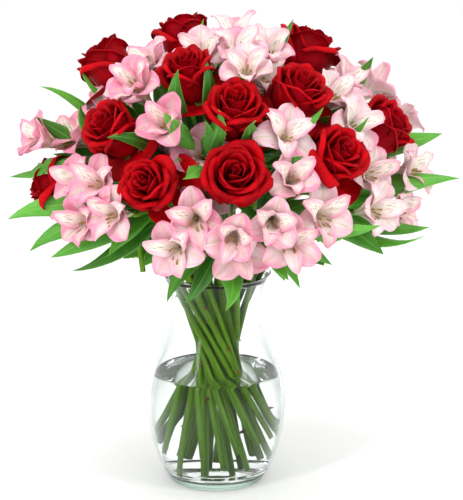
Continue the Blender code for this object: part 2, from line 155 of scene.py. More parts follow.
def cubic(start, leaving, end, arriving, count, ease=0.38):
    """Points on cubics from start, leaving along one direction, to end, arriving along the other."""
    reach = np.linalg.norm(end - start, axis=-1, keepdims=True) * ease
    a, b = start + leaving * reach, end - arriving * reach
    t = np.linspace(0, 1, count)[:, None]
    s = 1 - t
    start, a, b, end = (p[..., None, :] for p in (start, a, b, end))
    return start * s**3 + a * (3 * s * s * t) + b * (3 * s * t * t) + end * t**3


def standing(axis, up):
    """Turning matrices whose third column is the axis and whose second leans towards up."""
    z = unit(axis)
    y = unit(up - z * (up * z).sum(-1, keepdims=True))
    return np.stack([np.cross(y, z), y, z], -1)


def turned_about(directions, axis, angle):
    """Directions turned about a unit axis by an angle in radians, by Rodrigues' formula."""
    c, s = np.cos(angle)[..., None], np.sin(angle)[..., None]
    along = (directions * axis).sum(-1, keepdims=True)
    return directions * c + np.cross(axis, directions) * s + axis * along * (1 - c)


# %% [markdown]
# ## Helpers for finishes
#
# Each finish is a Principled material built from nodes. Colours are written as sRGB hex, as a colour
# picker gives them, and turned to linear light once. One function adds any node: its settings by name,
# and its inputs as numbers, colours or the node that feeds them.

# %% Colours and nodes


def linear(code):
    """An sRGB hex colour as linear red, green, blue and an alpha of 1."""
    parts = np.array([int(code[i : i + 2], 16) / 255 for i in (1, 3, 5)])
    parts = np.where(parts <= 0.04045, parts / 12.92, ((parts + 0.055) / 1.055) ** 2.4)
    return (*parts.tolist(), 1.0)


def add(finish, kind, inputs=None, stops=(), **settings):
    """A node with its settings, its inputs by name or number, and a colour ramp's stops."""
    made = finish.node_tree.nodes.new("ShaderNode" + kind)
    for key, value in settings.items():
        setattr(made, key, value)
    for key, value in (inputs or {}).items():
        socket = made.inputs[key] if isinstance(key, int) else next(
            s for s in made.inputs if s.name == key and s.enabled
        )
        if isinstance(value, bpy.types.Node):
            value = next(s for s in value.outputs if s.enabled)
        if isinstance(value, bpy.types.NodeSocket):
            finish.node_tree.links.new(value, socket)
        else:
            socket.default_value = linear(value) if isinstance(value, str) else value
    for number, (place, code) in enumerate(stops):
        ramp = made.color_ramp.elements
        stop = ramp[number] if number < 2 else ramp.new(place)
        stop.position, stop.color = place, linear(code)
    return made


def new_finish(name):
    """A material of this name with nodes switched on and none in it yet."""
    finish = bpy.data.materials.new(name)
    finish.use_nodes = True
    finish.node_tree.nodes.clear()
    return finish


# %% [markdown]
# ## The camera, the floor and the light
#
# The bouquet stands on a white sweep, seen from a little above the rim through a long lens, so the vase
# shows as good as straight on. The room is an even white that grows brighter overhead and at the back,
# which fills the shade between the petals. Two tall softboxes at the front, the left one stronger, give
# each head a lit side and the glass its upright streaks, and a square one overhead lights the crown.

# %% Camera, floor, world and lamps
CAMERA_PLACE = (0.0145, -1.50, 0.57)
CAMERA_TARGET = (0.0145, 0.0, 0.2235)
LENS_MM = 118
LAMP_TARGET = (0.0, 0.0, 0.2)
# Strength of the room's own light, and how much more there is overhead and again at the back.
ROOM_LIGHT = 0.78
ROOM_EXTRA = 0.25
# A trace of glow stands for the light that comes through white paper from below and behind.
PAPER_GLOW = 0.07
# The sheet lies a hair under the vase, so that no two faces share a plane.
PAPER_DROP = 0.0002
FLOOR_HALF = 6.0

scene = bpy.context.scene
scene.view_settings.view_transform = "Standard"

lens = bpy.data.cameras.new("camera")
lens.lens = LENS_MM
lens.sensor_width = 36
lens.clip_end = 20
camera = bpy.data.objects.new("camera", lens)
scene.collection.objects.link(camera)
scene.camera = camera


def looking(thing, place, target):
    """The object moved to place with its -Z towards the target and its +Y up."""
    matrix = np.eye(4)
    matrix[:3, :3] = standing(np.subtract(place, target), np.array([0.0, 0.0, 1.0]))
    matrix[:3, 3] = place
    thing.matrix_world = Matrix(matrix.tolist())


looking(camera, CAMERA_PLACE, CAMERA_TARGET)

world = bpy.data.worlds.new("white room")
scene.world = world
world.use_nodes = True
sight = add(world, "SeparateXYZ", {"Vector": add(world, "TexCoord").outputs["Generated"]})
above = add(world, "MapRange", {
    "Value": sight.outputs["Z"], "From Min": 0.3, "From Max": 0.85, "To Max": ROOM_EXTRA,
})
behind = add(world, "MapRange", {
    "Value": sight.outputs["Y"], "From Min": 0.6, "From Max": 0.96, "To Max": ROOM_EXTRA,
})
extra = add(world, "Math", {0: above, 1: behind}, operation="ADD")
bright = add(world, "Math", {0: extra, 1: ROOM_LIGHT}, operation="ADD")
glow = add(world, "Background", {"Color": "#FFFFFF", "Strength": bright})
world.node_tree.links.new(glow.outputs[0], world.node_tree.nodes["World Output"].inputs["Surface"])

# Name, place, width and height, and watts.
LAMPS = (
    ("left softbox", (-1.03, -1.23, 1.05), (0.22, 0.9), 11),
    ("right softbox", (1.25, -0.85, 1.0), (0.22, 0.9), 8),
    ("top softbox", (-0.2, -0.3, 2.2), (0.8, 0.8), 11),
)
for name, place, size, power in LAMPS:
    lamp = bpy.data.lights.new(name, "AREA")
    lamp.shape = "RECTANGLE"
    lamp.size, lamp.size_y = size
    lamp.energy = power
    holder = bpy.data.objects.new(name, lamp)
    scene.collection.objects.link(holder)
    looking(holder, place, LAMP_TARGET)

paper = new_finish("white paper sweep")
# Uncoated paper: matt, with a fibre grain of about 1 mm that only just shows.
grain = add(paper, "TexNoise", {"Vector": add(paper, "TexCoord").outputs["Object"], "Scale": 900.0})
tone = add(paper, "ValToRGB", {"Fac": grain}, stops=((0.3, "#F9F9F9"), (0.7, "#FDFDFD")))
bump = add(paper, "Bump", {"Height": grain, "Strength": 0.1, "Distance": 0.0001})
cover = add(paper, "BsdfPrincipled", {
    "Base Color": tone, "Roughness": 0.7, "Normal": bump,
    "Emission Color": "#FFFFFF", "Emission Strength": PAPER_GLOW,
})
add(paper, "OutputMaterial", {"Surface": cover})

edge = np.linspace(-FLOOR_HALF, FLOOR_HALF, 13)
x, y = np.meshgrid(edge, edge)
sweep = np.stack([x, y, np.full_like(x, -PAPER_DROP)], -1)
floor = surface("floor", [(sweep[None], False, 0, 0.5, 0)], [paper])
print("floor:", 2 * FLOOR_HALF, "m square; lamps:", len(LAMPS))

# %% [markdown]
# ## Where everything stands
#
# The frame lays its stems in a spiral: each is a straight line through the vase, and they pass close
# together at a waist, as hand-tied stems do. The same few rules are repeated here, so that each fine
# stem runs exactly through its plain solid. A head is given by its bearing from the front towards +X,
# its tilt from upright and its reach from the middle of the bouquet.

# %% Sizes shared with the frame
VASE_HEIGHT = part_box("vase")[1].z
BASE_RADIUS = 0.040
BELLY_RADIUS = 0.066
BELLY_HEIGHT = 0.080
BELLY_FULLNESS = 1.8
NECK_RADIUS = 0.0415
NECK_HEIGHT = VASE_HEIGHT - 0.031
RIM_RADIUS = 0.052
WALL = 0.003
BASE_THICKNESS = 0.008
WATER_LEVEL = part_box("water")[1].z

WAIST_HEIGHT = VASE_HEIGHT - 0.075
STEM_CLEARANCE = 0.0006
WALL_CLEARANCE = 0.0012
BUNCH_PACKING = 0.66
SPIRAL_TURN = 72
SLANT_ROOM = 1.13
FOOT_STAGGER = 0.014
STEM_PAST_RIM = 0.004

ROSE_STEM_RADIUS = 0.0032
HIP_LENGTH = 0.013
HIP_RADIUS = 0.0068
ROSE_RADIUS = 0.0315
ROSE_DEPTH = 0.052
ALSTROEMERIA_STEM_RADIUS = 0.0025
PEDICEL_RADIUS = 0.0013
FLOWER_ROOM = 0.0165
UMBEL_REACH = 0.52
STRAIGHT_END = 0.020
LEAF_DROP = 0.014

# Every head and leaf looks away from this point. The blooms sit a little deeper than their solids, and
# the rose at the left edge is moved forward, clear of the flowers round it.
MIDDLE = np.array([0.010, 0.0, VASE_HEIGHT + 0.042])
ROSE_SET_BACK = 0.009
LEFT_ROSE, LEFT_ROSE_SHIFT = 4, np.array([-0.004, -0.024, 0.003])
# Bearing, tilt and reach of each rose, and of each flower of each umbel.
ROSE_HEADS = np.array((
    (-125, 16, 0.187), (-100, 37, 0.192), (-31, 28, 0.174), (-48, 49, 0.168),
    (-90, 73, 0.168), (-27, 65, 0.160), (4, 39, 0.169), (3, 61, 0.160),
    (111, 27, 0.187), (41, 34, 0.172), (46, 57, 0.165), (78, 55, 0.180),
))
UMBELS = (
    ((-91, 46, 0.174), (-89, 58, 0.176), (-88, 66, 0.183)),
    ((-71, 32, 0.175), (-98, 24, 0.181), (-140, 36, 0.178)),
    ((-43, 39, 0.171), (-29, 41, 0.169), (-34, 50, 0.148)),
    ((11, 13, 0.179), (-30, 14, 0.178), (170, 9, 0.187), (75, 13, 0.179)),
    ((17, 27, 0.174), (27, 47, 0.166), (42, 22, 0.168)),
    ((96, 37, 0.182), (103, 48, 0.198), (101, 60, 0.200)),
    ((60, 42, 0.170), (63, 51, 0.169), (64, 66, 0.165)),
    ((-51, 61, 0.165), (-43, 72, 0.161), (-55, 80, 0.162), (-64, 70, 0.164)),
    ((-20, 50, 0.138), (-16, 59, 0.130), (-13, 76, 0.157)),
    ((1, 80, 0.155), (-14, 89, 0.156), (4, 93, 0.150)),
    ((15, 78, 0.157), (19, 88, 0.156), (25, 62, 0.161), (36, 77, 0.159)),
    ((62, 78, 0.164), (87, 71, 0.188), (84, 86, 0.168)),
    ((122, 40, 0.170), (116, 57, 0.172), (128, 66, 0.166), (110, 74, 0.168), (142, 48, 0.162)),
    ((150, 72, 0.152), (166, 60, 0.154), (132, 84, 0.158), (176, 78, 0.146), (158, 88, 0.150)),
    ((180, 30, 0.172), (160, 40, 0.165), (-158, 38, 0.168), (178, 48, 0.158), (150, 24, 0.175)),
    ((-166, 60, 0.154), (-150, 72, 0.154), (-170, 86, 0.148), (-138, 58, 0.162), (-136, 84, 0.158)),
    ((-118, 48, 0.172), (-112, 62, 0.172), (-118, 76, 0.166), (-104, 84, 0.166)),
)
# Bearing, tilt and reach of each leaf's tip, and the leaf's width.
LEAVES = np.array((
    (-81, 74, 0.208, 0.015), (-76, 82, 0.206, 0.021), (-90, 49, 0.227, 0.009), (-88, 40, 0.208, 0.014),
    (-84, 57, 0.208, 0.019), (-66, 45, 0.200, 0.014), (-21, 34, 0.204, 0.018), (-14, 24, 0.198, 0.013),
    (6, 33, 0.192, 0.012), (-100, 6, 0.203, 0.013), (-8, 43, 0.190, 0.016), (10, 48, 0.193, 0.015),
    (37, 45, 0.195, 0.015), (26, 54, 0.184, 0.014), (57, 49, 0.196, 0.014), (90, 38, 0.218, 0.017),
    (82, 75, 0.222, 0.023), (92, 64, 0.223, 0.020), (70, 80, 0.196, 0.014), (67, 88, 0.192, 0.013),
    (47, 79, 0.185, 0.015), (-71, 91, 0.188, 0.018), (-60, 86, 0.180, 0.018), (-52, 94, 0.172, 0.016),
    (-22, 101, 0.140, 0.014), (27, 99, 0.142, 0.012), (-40, 57, 0.188, 0.013), (100, 18, 0.201, 0.014),
    (112, 62, 0.205, 0.018), (128, 80, 0.190, 0.019), (146, 60, 0.186, 0.018), (160, 92, 0.176, 0.020),
    (178, 66, 0.182, 0.018), (-164, 50, 0.190, 0.018), (-160, 92, 0.176, 0.020), (-142, 70, 0.188, 0.018),
    (-124, 90, 0.190, 0.019), (-122, 60, 0.200, 0.017), (172, 20, 0.200, 0.016), (-104, 76, 0.200, 0.017),
))


def in_direction(bearing, tilt):
    """Unit vectors at these bearings round from -Y towards +X and tilts from upright, in degrees."""
    turn, lean = np.radians(bearing), np.radians(tilt)
    return np.stack([np.sin(lean) * np.sin(turn), -np.sin(lean) * np.cos(turn), np.cos(lean)], -1)


def push_apart(places, rooms, give, rounds=160, pace=0.7):
    """Places moved until no two are nearer than the sum of their rooms; give is how readily each moves.

    Each round takes up the share called pace of every overlap, divided between the two by their give.
    """
    share = give[:, None] / (give[:, None] + give[None])
    need = rooms[:, None] + rooms[None]
    for _ in range(rounds):
        between = places[:, None] - places[None]
        distance = np.linalg.norm(between, axis=2)
        np.fill_diagonal(distance, np.inf)
        short = np.clip(need - distance, 0, None)
        places = places + pace * (between / distance[..., None] * (share * short)[..., None]).sum(1)
    return places


def outer_radius(height):
    """The vase's outside: a full curve to the belly, a soft S to the neck, and a parabola to the rim."""
    drop = np.clip((BELLY_HEIGHT - height) / BELLY_HEIGHT, 0, 1)
    foot = BASE_RADIUS + (BELLY_RADIUS - BASE_RADIUS) * (1 - drop**BELLY_FULLNESS) ** (1 / BELLY_FULLNESS)
    rise = (height - BELLY_HEIGHT) / (NECK_HEIGHT - BELLY_HEIGHT)
    shoulder = BELLY_RADIUS + (NECK_RADIUS - BELLY_RADIUS) * (1 - np.cos(np.pi * rise)) / 2
    rise = (height - NECK_HEIGHT) / (VASE_HEIGHT - NECK_HEIGHT)
    flare = NECK_RADIUS + (RIM_RADIUS - NECK_RADIUS) * rise**2
    return np.where(height < BELLY_HEIGHT, foot, np.where(height < NECK_HEIGHT, shoulder, flare))


def inner_radius(height):
    """The vase's inside, one wall in from its outside."""
    return outer_radius(height) - WALL


# %% Heads, flowers and stems
rose_count = len(ROSE_HEADS)
umbel_sizes = [len(umbel) for umbel in UMBELS]
flower_table = np.concatenate([np.array(umbel) for umbel in UMBELS])
wanted = np.concatenate([ROSE_HEADS, flower_table])
wanted = MIDDLE + in_direction(wanted[:, 0], wanted[:, 1]) * wanted[:, 2:]
flower_count = len(flower_table)
rooms = np.repeat([ROSE_RADIUS, FLOWER_ROOM], [rose_count, flower_count])
spread = push_apart(wanted, rooms, np.repeat([0.3, 1.0], [rose_count, flower_count]))
heads, flowers = spread[:rose_count], spread[rose_count:]
owner_of = np.repeat(np.arange(len(UMBELS)), umbel_sizes)
centres = np.array([flowers[owner_of == k].mean(0) for k in range(len(UMBELS))])
apexes = MIDDLE + (centres - MIDDLE) * UMBEL_REACH
rose_aims, umbel_aims = unit(heads - MIDDLE), unit(apexes - MIDDLE)
heads = heads - rose_aims * ROSE_SET_BACK
heads[LEFT_ROSE] += LEFT_ROSE_SHIFT

# Stems fill a disc at the waist: one that leans further out stands further from its middle.
stem_aims = np.concatenate([rose_aims, umbel_aims])
stem_radii = np.repeat([ROSE_STEM_RADIUS, ALSTROEMERIA_STEM_RADIUS], [rose_count, len(UMBELS)])
padded = stem_radii + STEM_CLEARANCE / 2
slanted = padded * SLANT_ROOM
bunch_edge = np.sqrt((slanted**2).sum() / BUNCH_PACKING) - padded.max()
bearing = np.arctan2(stem_aims[:, 1], stem_aims[:, 0]) + np.radians(SPIRAL_TURN)
leaning = np.degrees(np.arccos(stem_aims[:, 2]))
from_middle = bunch_edge * np.clip(leaning / 90, 0.05, 1) ** 0.8
waist = from_middle[:, None] * np.stack([np.cos(bearing), np.sin(bearing)], -1)
for _ in range(60):
    waist = push_apart(waist, slanted, np.ones(len(waist)), 6)
    waist *= np.minimum(1, bunch_edge / np.linalg.norm(waist, axis=1, keepdims=True))
waist = waist[:, 0] + 1j * waist[:, 1]

# The lean that the narrowest place between the waist and the rim still lets through.
gauge = np.linspace(WAIST_HEIGHT + 0.02, VASE_HEIGHT, 12)
gap = (inner_radius(gauge) - padded.max() - WALL_CLEARANCE) / bunch_edge
lean = (np.sqrt(gap**2 - 1) / (gauge - WAIST_HEIGHT)).min()


def in_bunch(place, height):
    """Where the stems that pass the waist at these places are at another height."""
    there = place * (1 - 1j * lean * (height - WAIST_HEIGHT))
    return np.stack([there.real, there.imag, height + 0 * there.real], -1)


# Each stem runs down until its cut end would touch the glass; multiples of the golden share then
# stagger the ends.
DOWN_STEP = 0.001
GOLDEN_SHARE = 0.618
levels = WAIST_HEIGHT - DOWN_STEP * np.arange(140)[None]
off_axis = np.abs(waist[:, None] * (1 - 1j * lean * (levels - WAIST_HEIGHT)))
room = stem_radii[:, None]
free = (levels > BASE_THICKNESS + room + WALL_CLEARANCE) & (
    off_axis + room * 1.5 + WALL_CLEARANCE <= inner_radius(levels)
)
feet = WAIST_HEIGHT - DOWN_STEP * np.argmin(free, axis=1) + 2 * DOWN_STEP
feet = feet + FOOT_STAGGER * (np.arange(len(feet)) * GOLDEN_SHARE % 1)
foot_points, mouth_points = in_bunch(waist, feet), in_bunch(waist, VASE_HEIGHT + STEM_PAST_RIM)
stem_rise = unit(mouth_points - foot_points)
print("roses:", rose_count, "flowers:", flower_count, "stems:", len(waist))
print("bunch edge mm:", round(bunch_edge * 1000, 1))

# %% [markdown]
# ## The vase and its water
#
# The vase is blown glass: one wall 3 mm thick that thickens into a heavy base and thins to a fine
# rounded lip. A turned body is a profile of radius and height swept once round, so the grid runs up the
# outside, over the lip and down the inside. Glass is an IOR of 1.5 with a trace of green that shows in
# the thick base. Where it turns away from the eye its colour is painted greyer, a painted shade that
# draws its outline, and its mirror reflection is held back so that the stems stay clear.
# The water is a second closed body a hair inside the glass, IOR 1.33, whose edge climbs the wall by a
# millimetre or two, as water does, and its outline is painted greyer in the same way.

# %% Turned bodies


def turned(radii, heights, segments=96):
    """A profile of radius and height carried once round +Z, as one wrapped grid."""
    a = np.arange(segments) / segments * 2 * np.pi
    level = np.outer(heights, np.ones(segments))
    return np.stack([np.outer(radii, np.cos(a)), np.outer(radii, np.sin(a)), level], -1)[None]


FOOT_ROUND = 0.003
INNER_ROUND = 0.006
LIP_HALF = 0.0006
LIP_TAPER = 0.006
quarter = np.linspace(0, np.pi / 2, 7)
foot_edge = outer_radius(np.array([FOOT_ROUND]))[0]
rise = np.linspace(FOOT_ROUND, VASE_HEIGHT - LIP_HALF, 64)
lip = np.linspace(0, np.pi, 9)[1:-1]
under_lip = VASE_HEIGHT - LIP_TAPER - MILLIMETRE
inside = np.concatenate([
    np.linspace(VASE_HEIGHT - LIP_HALF, under_lip, 9)[:-1],
    np.linspace(under_lip, BASE_THICKNESS + INNER_ROUND, 56),
])
thinned = (WALL - 2 * LIP_HALF) * smooth((inside - VASE_HEIGHT + LIP_TAPER) / (LIP_TAPER - MILLIMETRE))
inner_foot = inner_radius(inside[-1:])[0]
radii = np.concatenate([
    [0, foot_edge * 0.45, foot_edge * 0.8],
    foot_edge - FOOT_ROUND * 0.9 * (1 - np.sin(quarter[:-1])),
    outer_radius(rise),
    RIM_RADIUS - LIP_HALF + LIP_HALF * np.cos(lip),
    inner_radius(inside) + thinned,
    inner_foot - INNER_ROUND * (1 - np.cos(quarter[1:])),
    [inner_foot * 0.55, 0],
])
heights = np.concatenate([
    [0.0008, 0.0006, 0.0],
    FOOT_ROUND * (1 - np.cos(quarter[:-1])),
    rise,
    VASE_HEIGHT - LIP_HALF + LIP_HALF * np.sin(lip),
    inside,
    BASE_THICKNESS + INNER_ROUND * (1 - np.sin(quarter[1:])),
    [BASE_THICKNESS, BASE_THICKNESS],
])


def lamps_through(finish, cover, shade):
    """The clear surface, but for a lamp's rays a plain pale shade, so that what stands inside is lit."""
    plain = add(finish, "BsdfTransparent", {"Color": shade})
    lamp_ray = add(finish, "LightPath").outputs["Is Shadow Ray"]
    return add(finish, "MixShader", {0: lamp_ray, 1: cover, 2: plain})


glass = new_finish("clear blown glass")
# Clear soda-lime glass: smooth, IOR 1.5, with slow waves about 45 mm long where it was blown.
waves = add(glass, "TexNoise", {
    "Vector": add(glass, "TexCoord").outputs["Object"], "Scale": 22.0, "Detail": 1.0,
})
waving = add(glass, "Bump", {"Height": waves, "Strength": 0.08, "Distance": 0.002})
turned_away = add(glass, "LayerWeight", {"Blend": 0.5, "Normal": waving}).outputs["Facing"]
edge_shade_mask = add(glass, "Math", {0: waves, 1: 0.06, 2: turned_away}, operation="MULTIPLY_ADD")
# Painted shade: the glass's colour turns grey where its surface turns away from the eye, which draws its
# outline.
glass_edge_shade = add(glass, "ValToRGB", {"Fac": edge_shade_mask}, stops=(
    (0.62, "#FDFEFE"), (0.80, "#DFE8E5"), (0.93, "#BECBC6"), (1.0, "#B9C6C1"),
))
cover = add(glass, "BsdfPrincipled", {
    "Base Color": glass_edge_shade, "Roughness": 0.0, "IOR": 1.5, "Transmission Weight": 1.0, "Normal": waving,
    "Specular Tint": (0.15, 0.155, 0.17, 1.0),
})
depth = add(glass, "VolumeAbsorption", {"Color": "#CFE8DC", "Density": 16.0})
add(glass, "OutputMaterial", {"Surface": lamps_through(glass, cover, "#ACB6B2"), "Volume": depth})

vase = surface("vase_shell", [(turned(radii, heights), True, 0, 0.5, 0)], [glass])
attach(vase, "root")
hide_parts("vase")
print("vase:", len(vase.data.polygons), "faces, lip at mm", round(heights.max() * 1000, 1))

# %% Water
WATER_GAP = 0.00015
MENISCUS = 0.0016
MENISCUS_REACH = 0.0015
wet = np.linspace(BASE_THICKNESS + INNER_ROUND, WATER_LEVEL + MENISCUS, 40)
climb = np.linspace(0, 4 * MENISCUS_REACH, 8)
wall = inner_radius(wet) - WATER_GAP
radii = np.concatenate([
    [0, inner_foot * 0.55],
    (inner_foot - INNER_ROUND * (1 - np.cos(quarter[::-1]))) - WATER_GAP,
    wall,
    wall[-1] - climb[1:],
    [wall[-1] * 0.5, 0],
])
heights = np.concatenate([
    [BASE_THICKNESS + WATER_GAP] * 2,
    BASE_THICKNESS + INNER_ROUND * (1 - np.sin(quarter[::-1])) + WATER_GAP,
    wet,
    WATER_LEVEL + MENISCUS * np.exp(-climb[1:] / MENISCUS_REACH),
    [WATER_LEVEL] * 2,
])
pond = new_finish("still water")
# Fresh water: IOR 1.33, hardly any colour over 10 cm, with the faintest swell on its surface.
swell = add(pond, "TexNoise", {
    "Vector": add(pond, "TexCoord").outputs["Object"], "Scale": 60.0, "Detail": 1.0,
})
swelling = add(pond, "Bump", {"Height": swell, "Strength": 0.12, "Distance": 0.0006})
turned_away = add(pond, "LayerWeight", {"Blend": 0.5, "Normal": swelling}).outputs["Facing"]
edge_shade_mask = add(pond, "Math", {0: swell, 1: 0.06, 2: turned_away}, operation="MULTIPLY_ADD")
# Painted shade: the water's colour turns grey where its surface turns away from the eye, which draws its
# outline and greys its far edge.
water_edge_shade = add(pond, "ValToRGB", {"Fac": edge_shade_mask}, stops=(
    (0.6, "#FDFEFE"), (0.85, "#E9F0ED"), (1.0, "#C3CFCA"),
))
cover = add(pond, "BsdfPrincipled", {
    "Base Color": water_edge_shade, "Roughness": 0.0, "IOR": 1.33, "Transmission Weight": 1.0, "Normal": swelling,
    "Specular Tint": (0.5, 0.52, 0.54, 1.0),
})
add(pond, "OutputMaterial", {"Surface": lamps_through(pond, cover, "#E6ECE9")})

water = surface("water_body", [(turned(radii, heights), True, 0, 0.5, 0)], [pond])
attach(water, "root")
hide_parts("water")
print("water level mm:", round(WATER_LEVEL * 1000, 1))

# %% [markdown]
# ## Rose petals
#
# A rose opens as a spiral: each petal stands 137.5 degrees round from the last, a little wider, lower
# and more rolled at its rim. Seen along its length a petal is a curve: out from the hip, up the cup, and
# over at the lip. Giving the curve by its slope at each distance along it keeps the petal's length true
# and makes the roll round. Across, the petal wraps the axis; its sides turn out sooner than its middle,
# which leaves the soft point that a garden rose shows.

# %% Petals of one bloom
ROSE_PETALS = 27
GOLDEN_TURN = np.radians(137.508)
HEART_RADIUS = 0.0019
CUP_RADIUS = 0.0232
LOW_SLOPE = np.radians(12)
# The mean cosine and sine of a slope that grows evenly from the low slope to upright.
BASE_RUN = (1 - np.sin(LOW_SLOPE)) / (np.pi / 2 - LOW_SLOPE)
BASE_RISE = np.cos(LOW_SLOPE) / (np.pi / 2 - LOW_SLOPE)


def rose_petals(chance, opening, guards, rows=24, columns=19):
    """A bloom's petals as grids, standing on +Z at the origin.

    t runs from the heart 0 to the outermost 1. Along a petal the slope starts near level, comes upright
    at the cup's radius, and falls past level over the lip; radius and height are its running sums. Across,
    the angle round the axis is the petal's half width times u, the length falls away to the sides, and the
    radius grows with u so that one side of each petal lies under its neighbour. The last few petals, the
    guards, are thrown further back.
    """
    number = np.arange(ROSE_PETALS)
    t = (number / (ROSE_PETALS - 1))[:, None, None]
    s = np.linspace(0, 1, rows)[None, :, None]
    u = np.linspace(-1, 1, columns)[None, None, :]
    jitter = chance.uniform(-1, 1, (12, ROSE_PETALS))[:, :, None, None]
    guard = np.clip(number - (ROSE_PETALS - 1 - guards), 0, 1)[:, None, None]

    body = HEART_RADIUS + (CUP_RADIUS * opening - HEART_RADIUS) * t**0.9 + 0.0005 * jitter[0]
    start = 0.0022 + 0.0022 * t
    base_arc = (body - start) / BASE_RUN
    top = ROSE_DEPTH * (0.95 - 0.02 * t - 0.18 * t**2.5) + 0.0015 * jitter[1] * t
    cup = np.clip(top - BASE_RISE * base_arc - 0.002, 0.004, None) * (1 - 0.35 * guard)
    lip = (0.0022 + 0.0066 * t**1.4) * (1 + 0.35 * jitter[2]) * (1 + 0.9 * guard)
    peak = 0.0028 * t**2 * np.exp(-(((u - 0.2 * jitter[6]) / 0.16) ** 2)) * (jitter[9] > -0.5)
    side = np.abs(u + 0.15 * jitter[11]) ** (2.6 - 0.8 * t)
    turns = base_arc + cup * (1 - (0.38 + 0.17 * t) * side)
    length = turns + lip * (1 - 0.72 * side) + peak

    arc = s * length
    lean = np.radians(90 + 6 - 12 * t**0.7 + 2 * jitter[3])
    over = np.radians(58 - 112 * t**1.3 + 18 * jitter[4] - 15 * guard)
    middle_arc = (arc[:, 1:] + arc[:, :-1]) / 2
    rising = np.clip(middle_arc / base_arc, 0, 1)
    begin = turns * (0.97 - 0.10 * t * side)
    rolling = smooth((middle_arc - begin) / (length - begin + 0.0015))
    slope = LOW_SLOPE + (lean - LOW_SLOPE) * rising
    slope = slope + (over - lean) * rolling
    step = arc[:, 1:] - arc[:, :-1]
    zero = np.zeros_like(arc[:, :1])
    radius = start + np.concatenate([zero, np.cumsum(np.cos(slope) * step, 1)], 1)
    height = 0.001 + np.concatenate([zero, np.cumsum(np.sin(slope) * step, 1)], 1)

    half = np.radians(150 - 84 * t**0.5 + 7 * jitter[5]) * (0.34 + 0.66 * smooth(s / 0.55))
    half = half * (1 - 0.30 * np.clip((s - 0.6) / 0.4, 0, 1) ** 2.5)
    spiral = (0.0004 + 0.0014 * t**0.5) * u * smooth(s / 0.4)
    ripple = np.sin(u * (3 + 2 * jitter[6]) + 6 * jitter[7]) * 0.0013 * t * smooth((s - 0.45) / 0.5)
    fold = np.sin(u * 9 + 6 * jitter[8] + 3 * s) * 0.0006 * t * smooth((s - 0.6) / 0.4)
    radius = np.clip(radius + spiral + ripple, 0.0004, None)
    height = height + fold - 0.0010 * t * (u + jitter[9]) * s
    angle = number[:, None, None] * GOLDEN_TURN + np.radians(8) * jitter[10] + half * u
    return np.stack([radius * np.cos(angle), radius * np.sin(angle), height + 0 * angle], -1)


# %% [markdown]
# ## Rose finishes
#
# The face of a red rose petal is covered in tiny cones, which catch light at a grazing angle and give the
# velvet look: a deep red with a little sheen and hardly any gloss. The back is smoother, a little pinker
# and shows the veins, which fan from the base to the rim. On the flower they are about 0.8 mm apart; they
# are drawn twice as coarse here, so that they show. The rim is darker where it has begun to dry.

# %% Velvet face and veined back
PETAL_WIDTH_MM = 45
VEIN_SPACING_MM = 1.6


def petal_finish(name, deep, bright, rim, sheen, rough):
    """Red petal skin: slow blotches, fanning veins as colour and bump, and a darker rim."""
    finish = new_finish(name)
    uv = add(finish, "UVMap", uv_map="UVMap")
    split = add(finish, "SeparateXYZ", {"Vector": uv})
    tint = add(finish, "Attribute", attribute_name="tint")
    offset = add(finish, "Math", {0: tint.outputs["Fac"], 1: 37.0}, operation="MULTIPLY")
    place = add(finish, "CombineXYZ", {"X": split.outputs["X"], "Y": split.outputs["Y"], "Z": offset})
    count = PETAL_WIDTH_MM / VEIN_SPACING_MM
    stretched = add(finish, "Mapping", {"Vector": place, "Scale": (count, 1.6, 1.0)})
    veins = add(finish, "TexNoise", {"Vector": stretched, "Scale": 1.0, "Detail": 3.0, "Roughness": 0.6})
    soft = add(finish, "Mapping", {"Vector": place, "Scale": (2.2, 2.0, 1.0)})
    blotch = add(finish, "TexNoise", {"Vector": soft, "Scale": 1.0, "Detail": 2.0})
    wide = add(finish, "MapRange", {"Value": blotch, "From Min": 0.3, "From Max": 0.7})
    tone = add(finish, "Mix", {"Factor": wide, "A": deep, "B": bright}, data_type="RGBA")
    line = add(finish, "MapRange", {
        "Value": veins, "From Min": 0.35, "From Max": 0.65, "To Min": 0.80, "To Max": 1.08,
    })
    veined = add(finish, "VectorMath", {0: tone, 1: line}, operation="MULTIPLY")
    near = add(finish, "MapRange", {
        "Value": split.outputs["Y"], "From Min": 0.955, "From Max": 1.0, "To Min": 0.0, "To Max": 0.35,
    })
    edged = add(finish, "Mix", {"Factor": near, "A": veined, "B": rim}, data_type="RGBA")
    ridges = add(finish, "Bump", {"Height": veins, "Strength": 0.35, "Distance": 0.0004})
    dry = add(finish, "MapRange", {"Value": veins, "To Min": rough - 0.08, "To Max": rough + 0.1})
    cover = add(finish, "BsdfPrincipled", {
        "Base Color": edged, "Roughness": dry, "Normal": ridges, "IOR": 1.42, "Specular IOR Level": 0.10,
        "Subsurface Weight": 0.12, "Subsurface Radius": (1.0, 0.15, 0.1), "Subsurface Scale": 0.002,
        "Sheen Weight": sheen, "Sheen Roughness": 0.45, "Sheen Tint": linear("#FF2A2A"),
    })
    add(finish, "OutputMaterial", {"Surface": cover})
    return finish


velvet = petal_finish("rose petal face, velvet red", "#94000A", "#D00010", "#5A0004", 0.03, 0.62)
petal_back = petal_finish("rose petal back, veined crimson", "#8E000E", "#B80018", "#5A000C", 0.02, 0.55)
print("velvet and back are ready; veins every", VEIN_SPACING_MM, "mm")

# %% [markdown]
# ## Green finishes
#
# Leaf blades and stems share one recipe. Alstroemeria leaves have veins that run side by side the length
# of the blade, a paler midrib, and a satin wax. Stems are ribbed along their length and duller, and fade
# in patches to a darker green. Each leaf or stem has its own tint, from deep green to fresh green.

# %% Leaf and stem skins


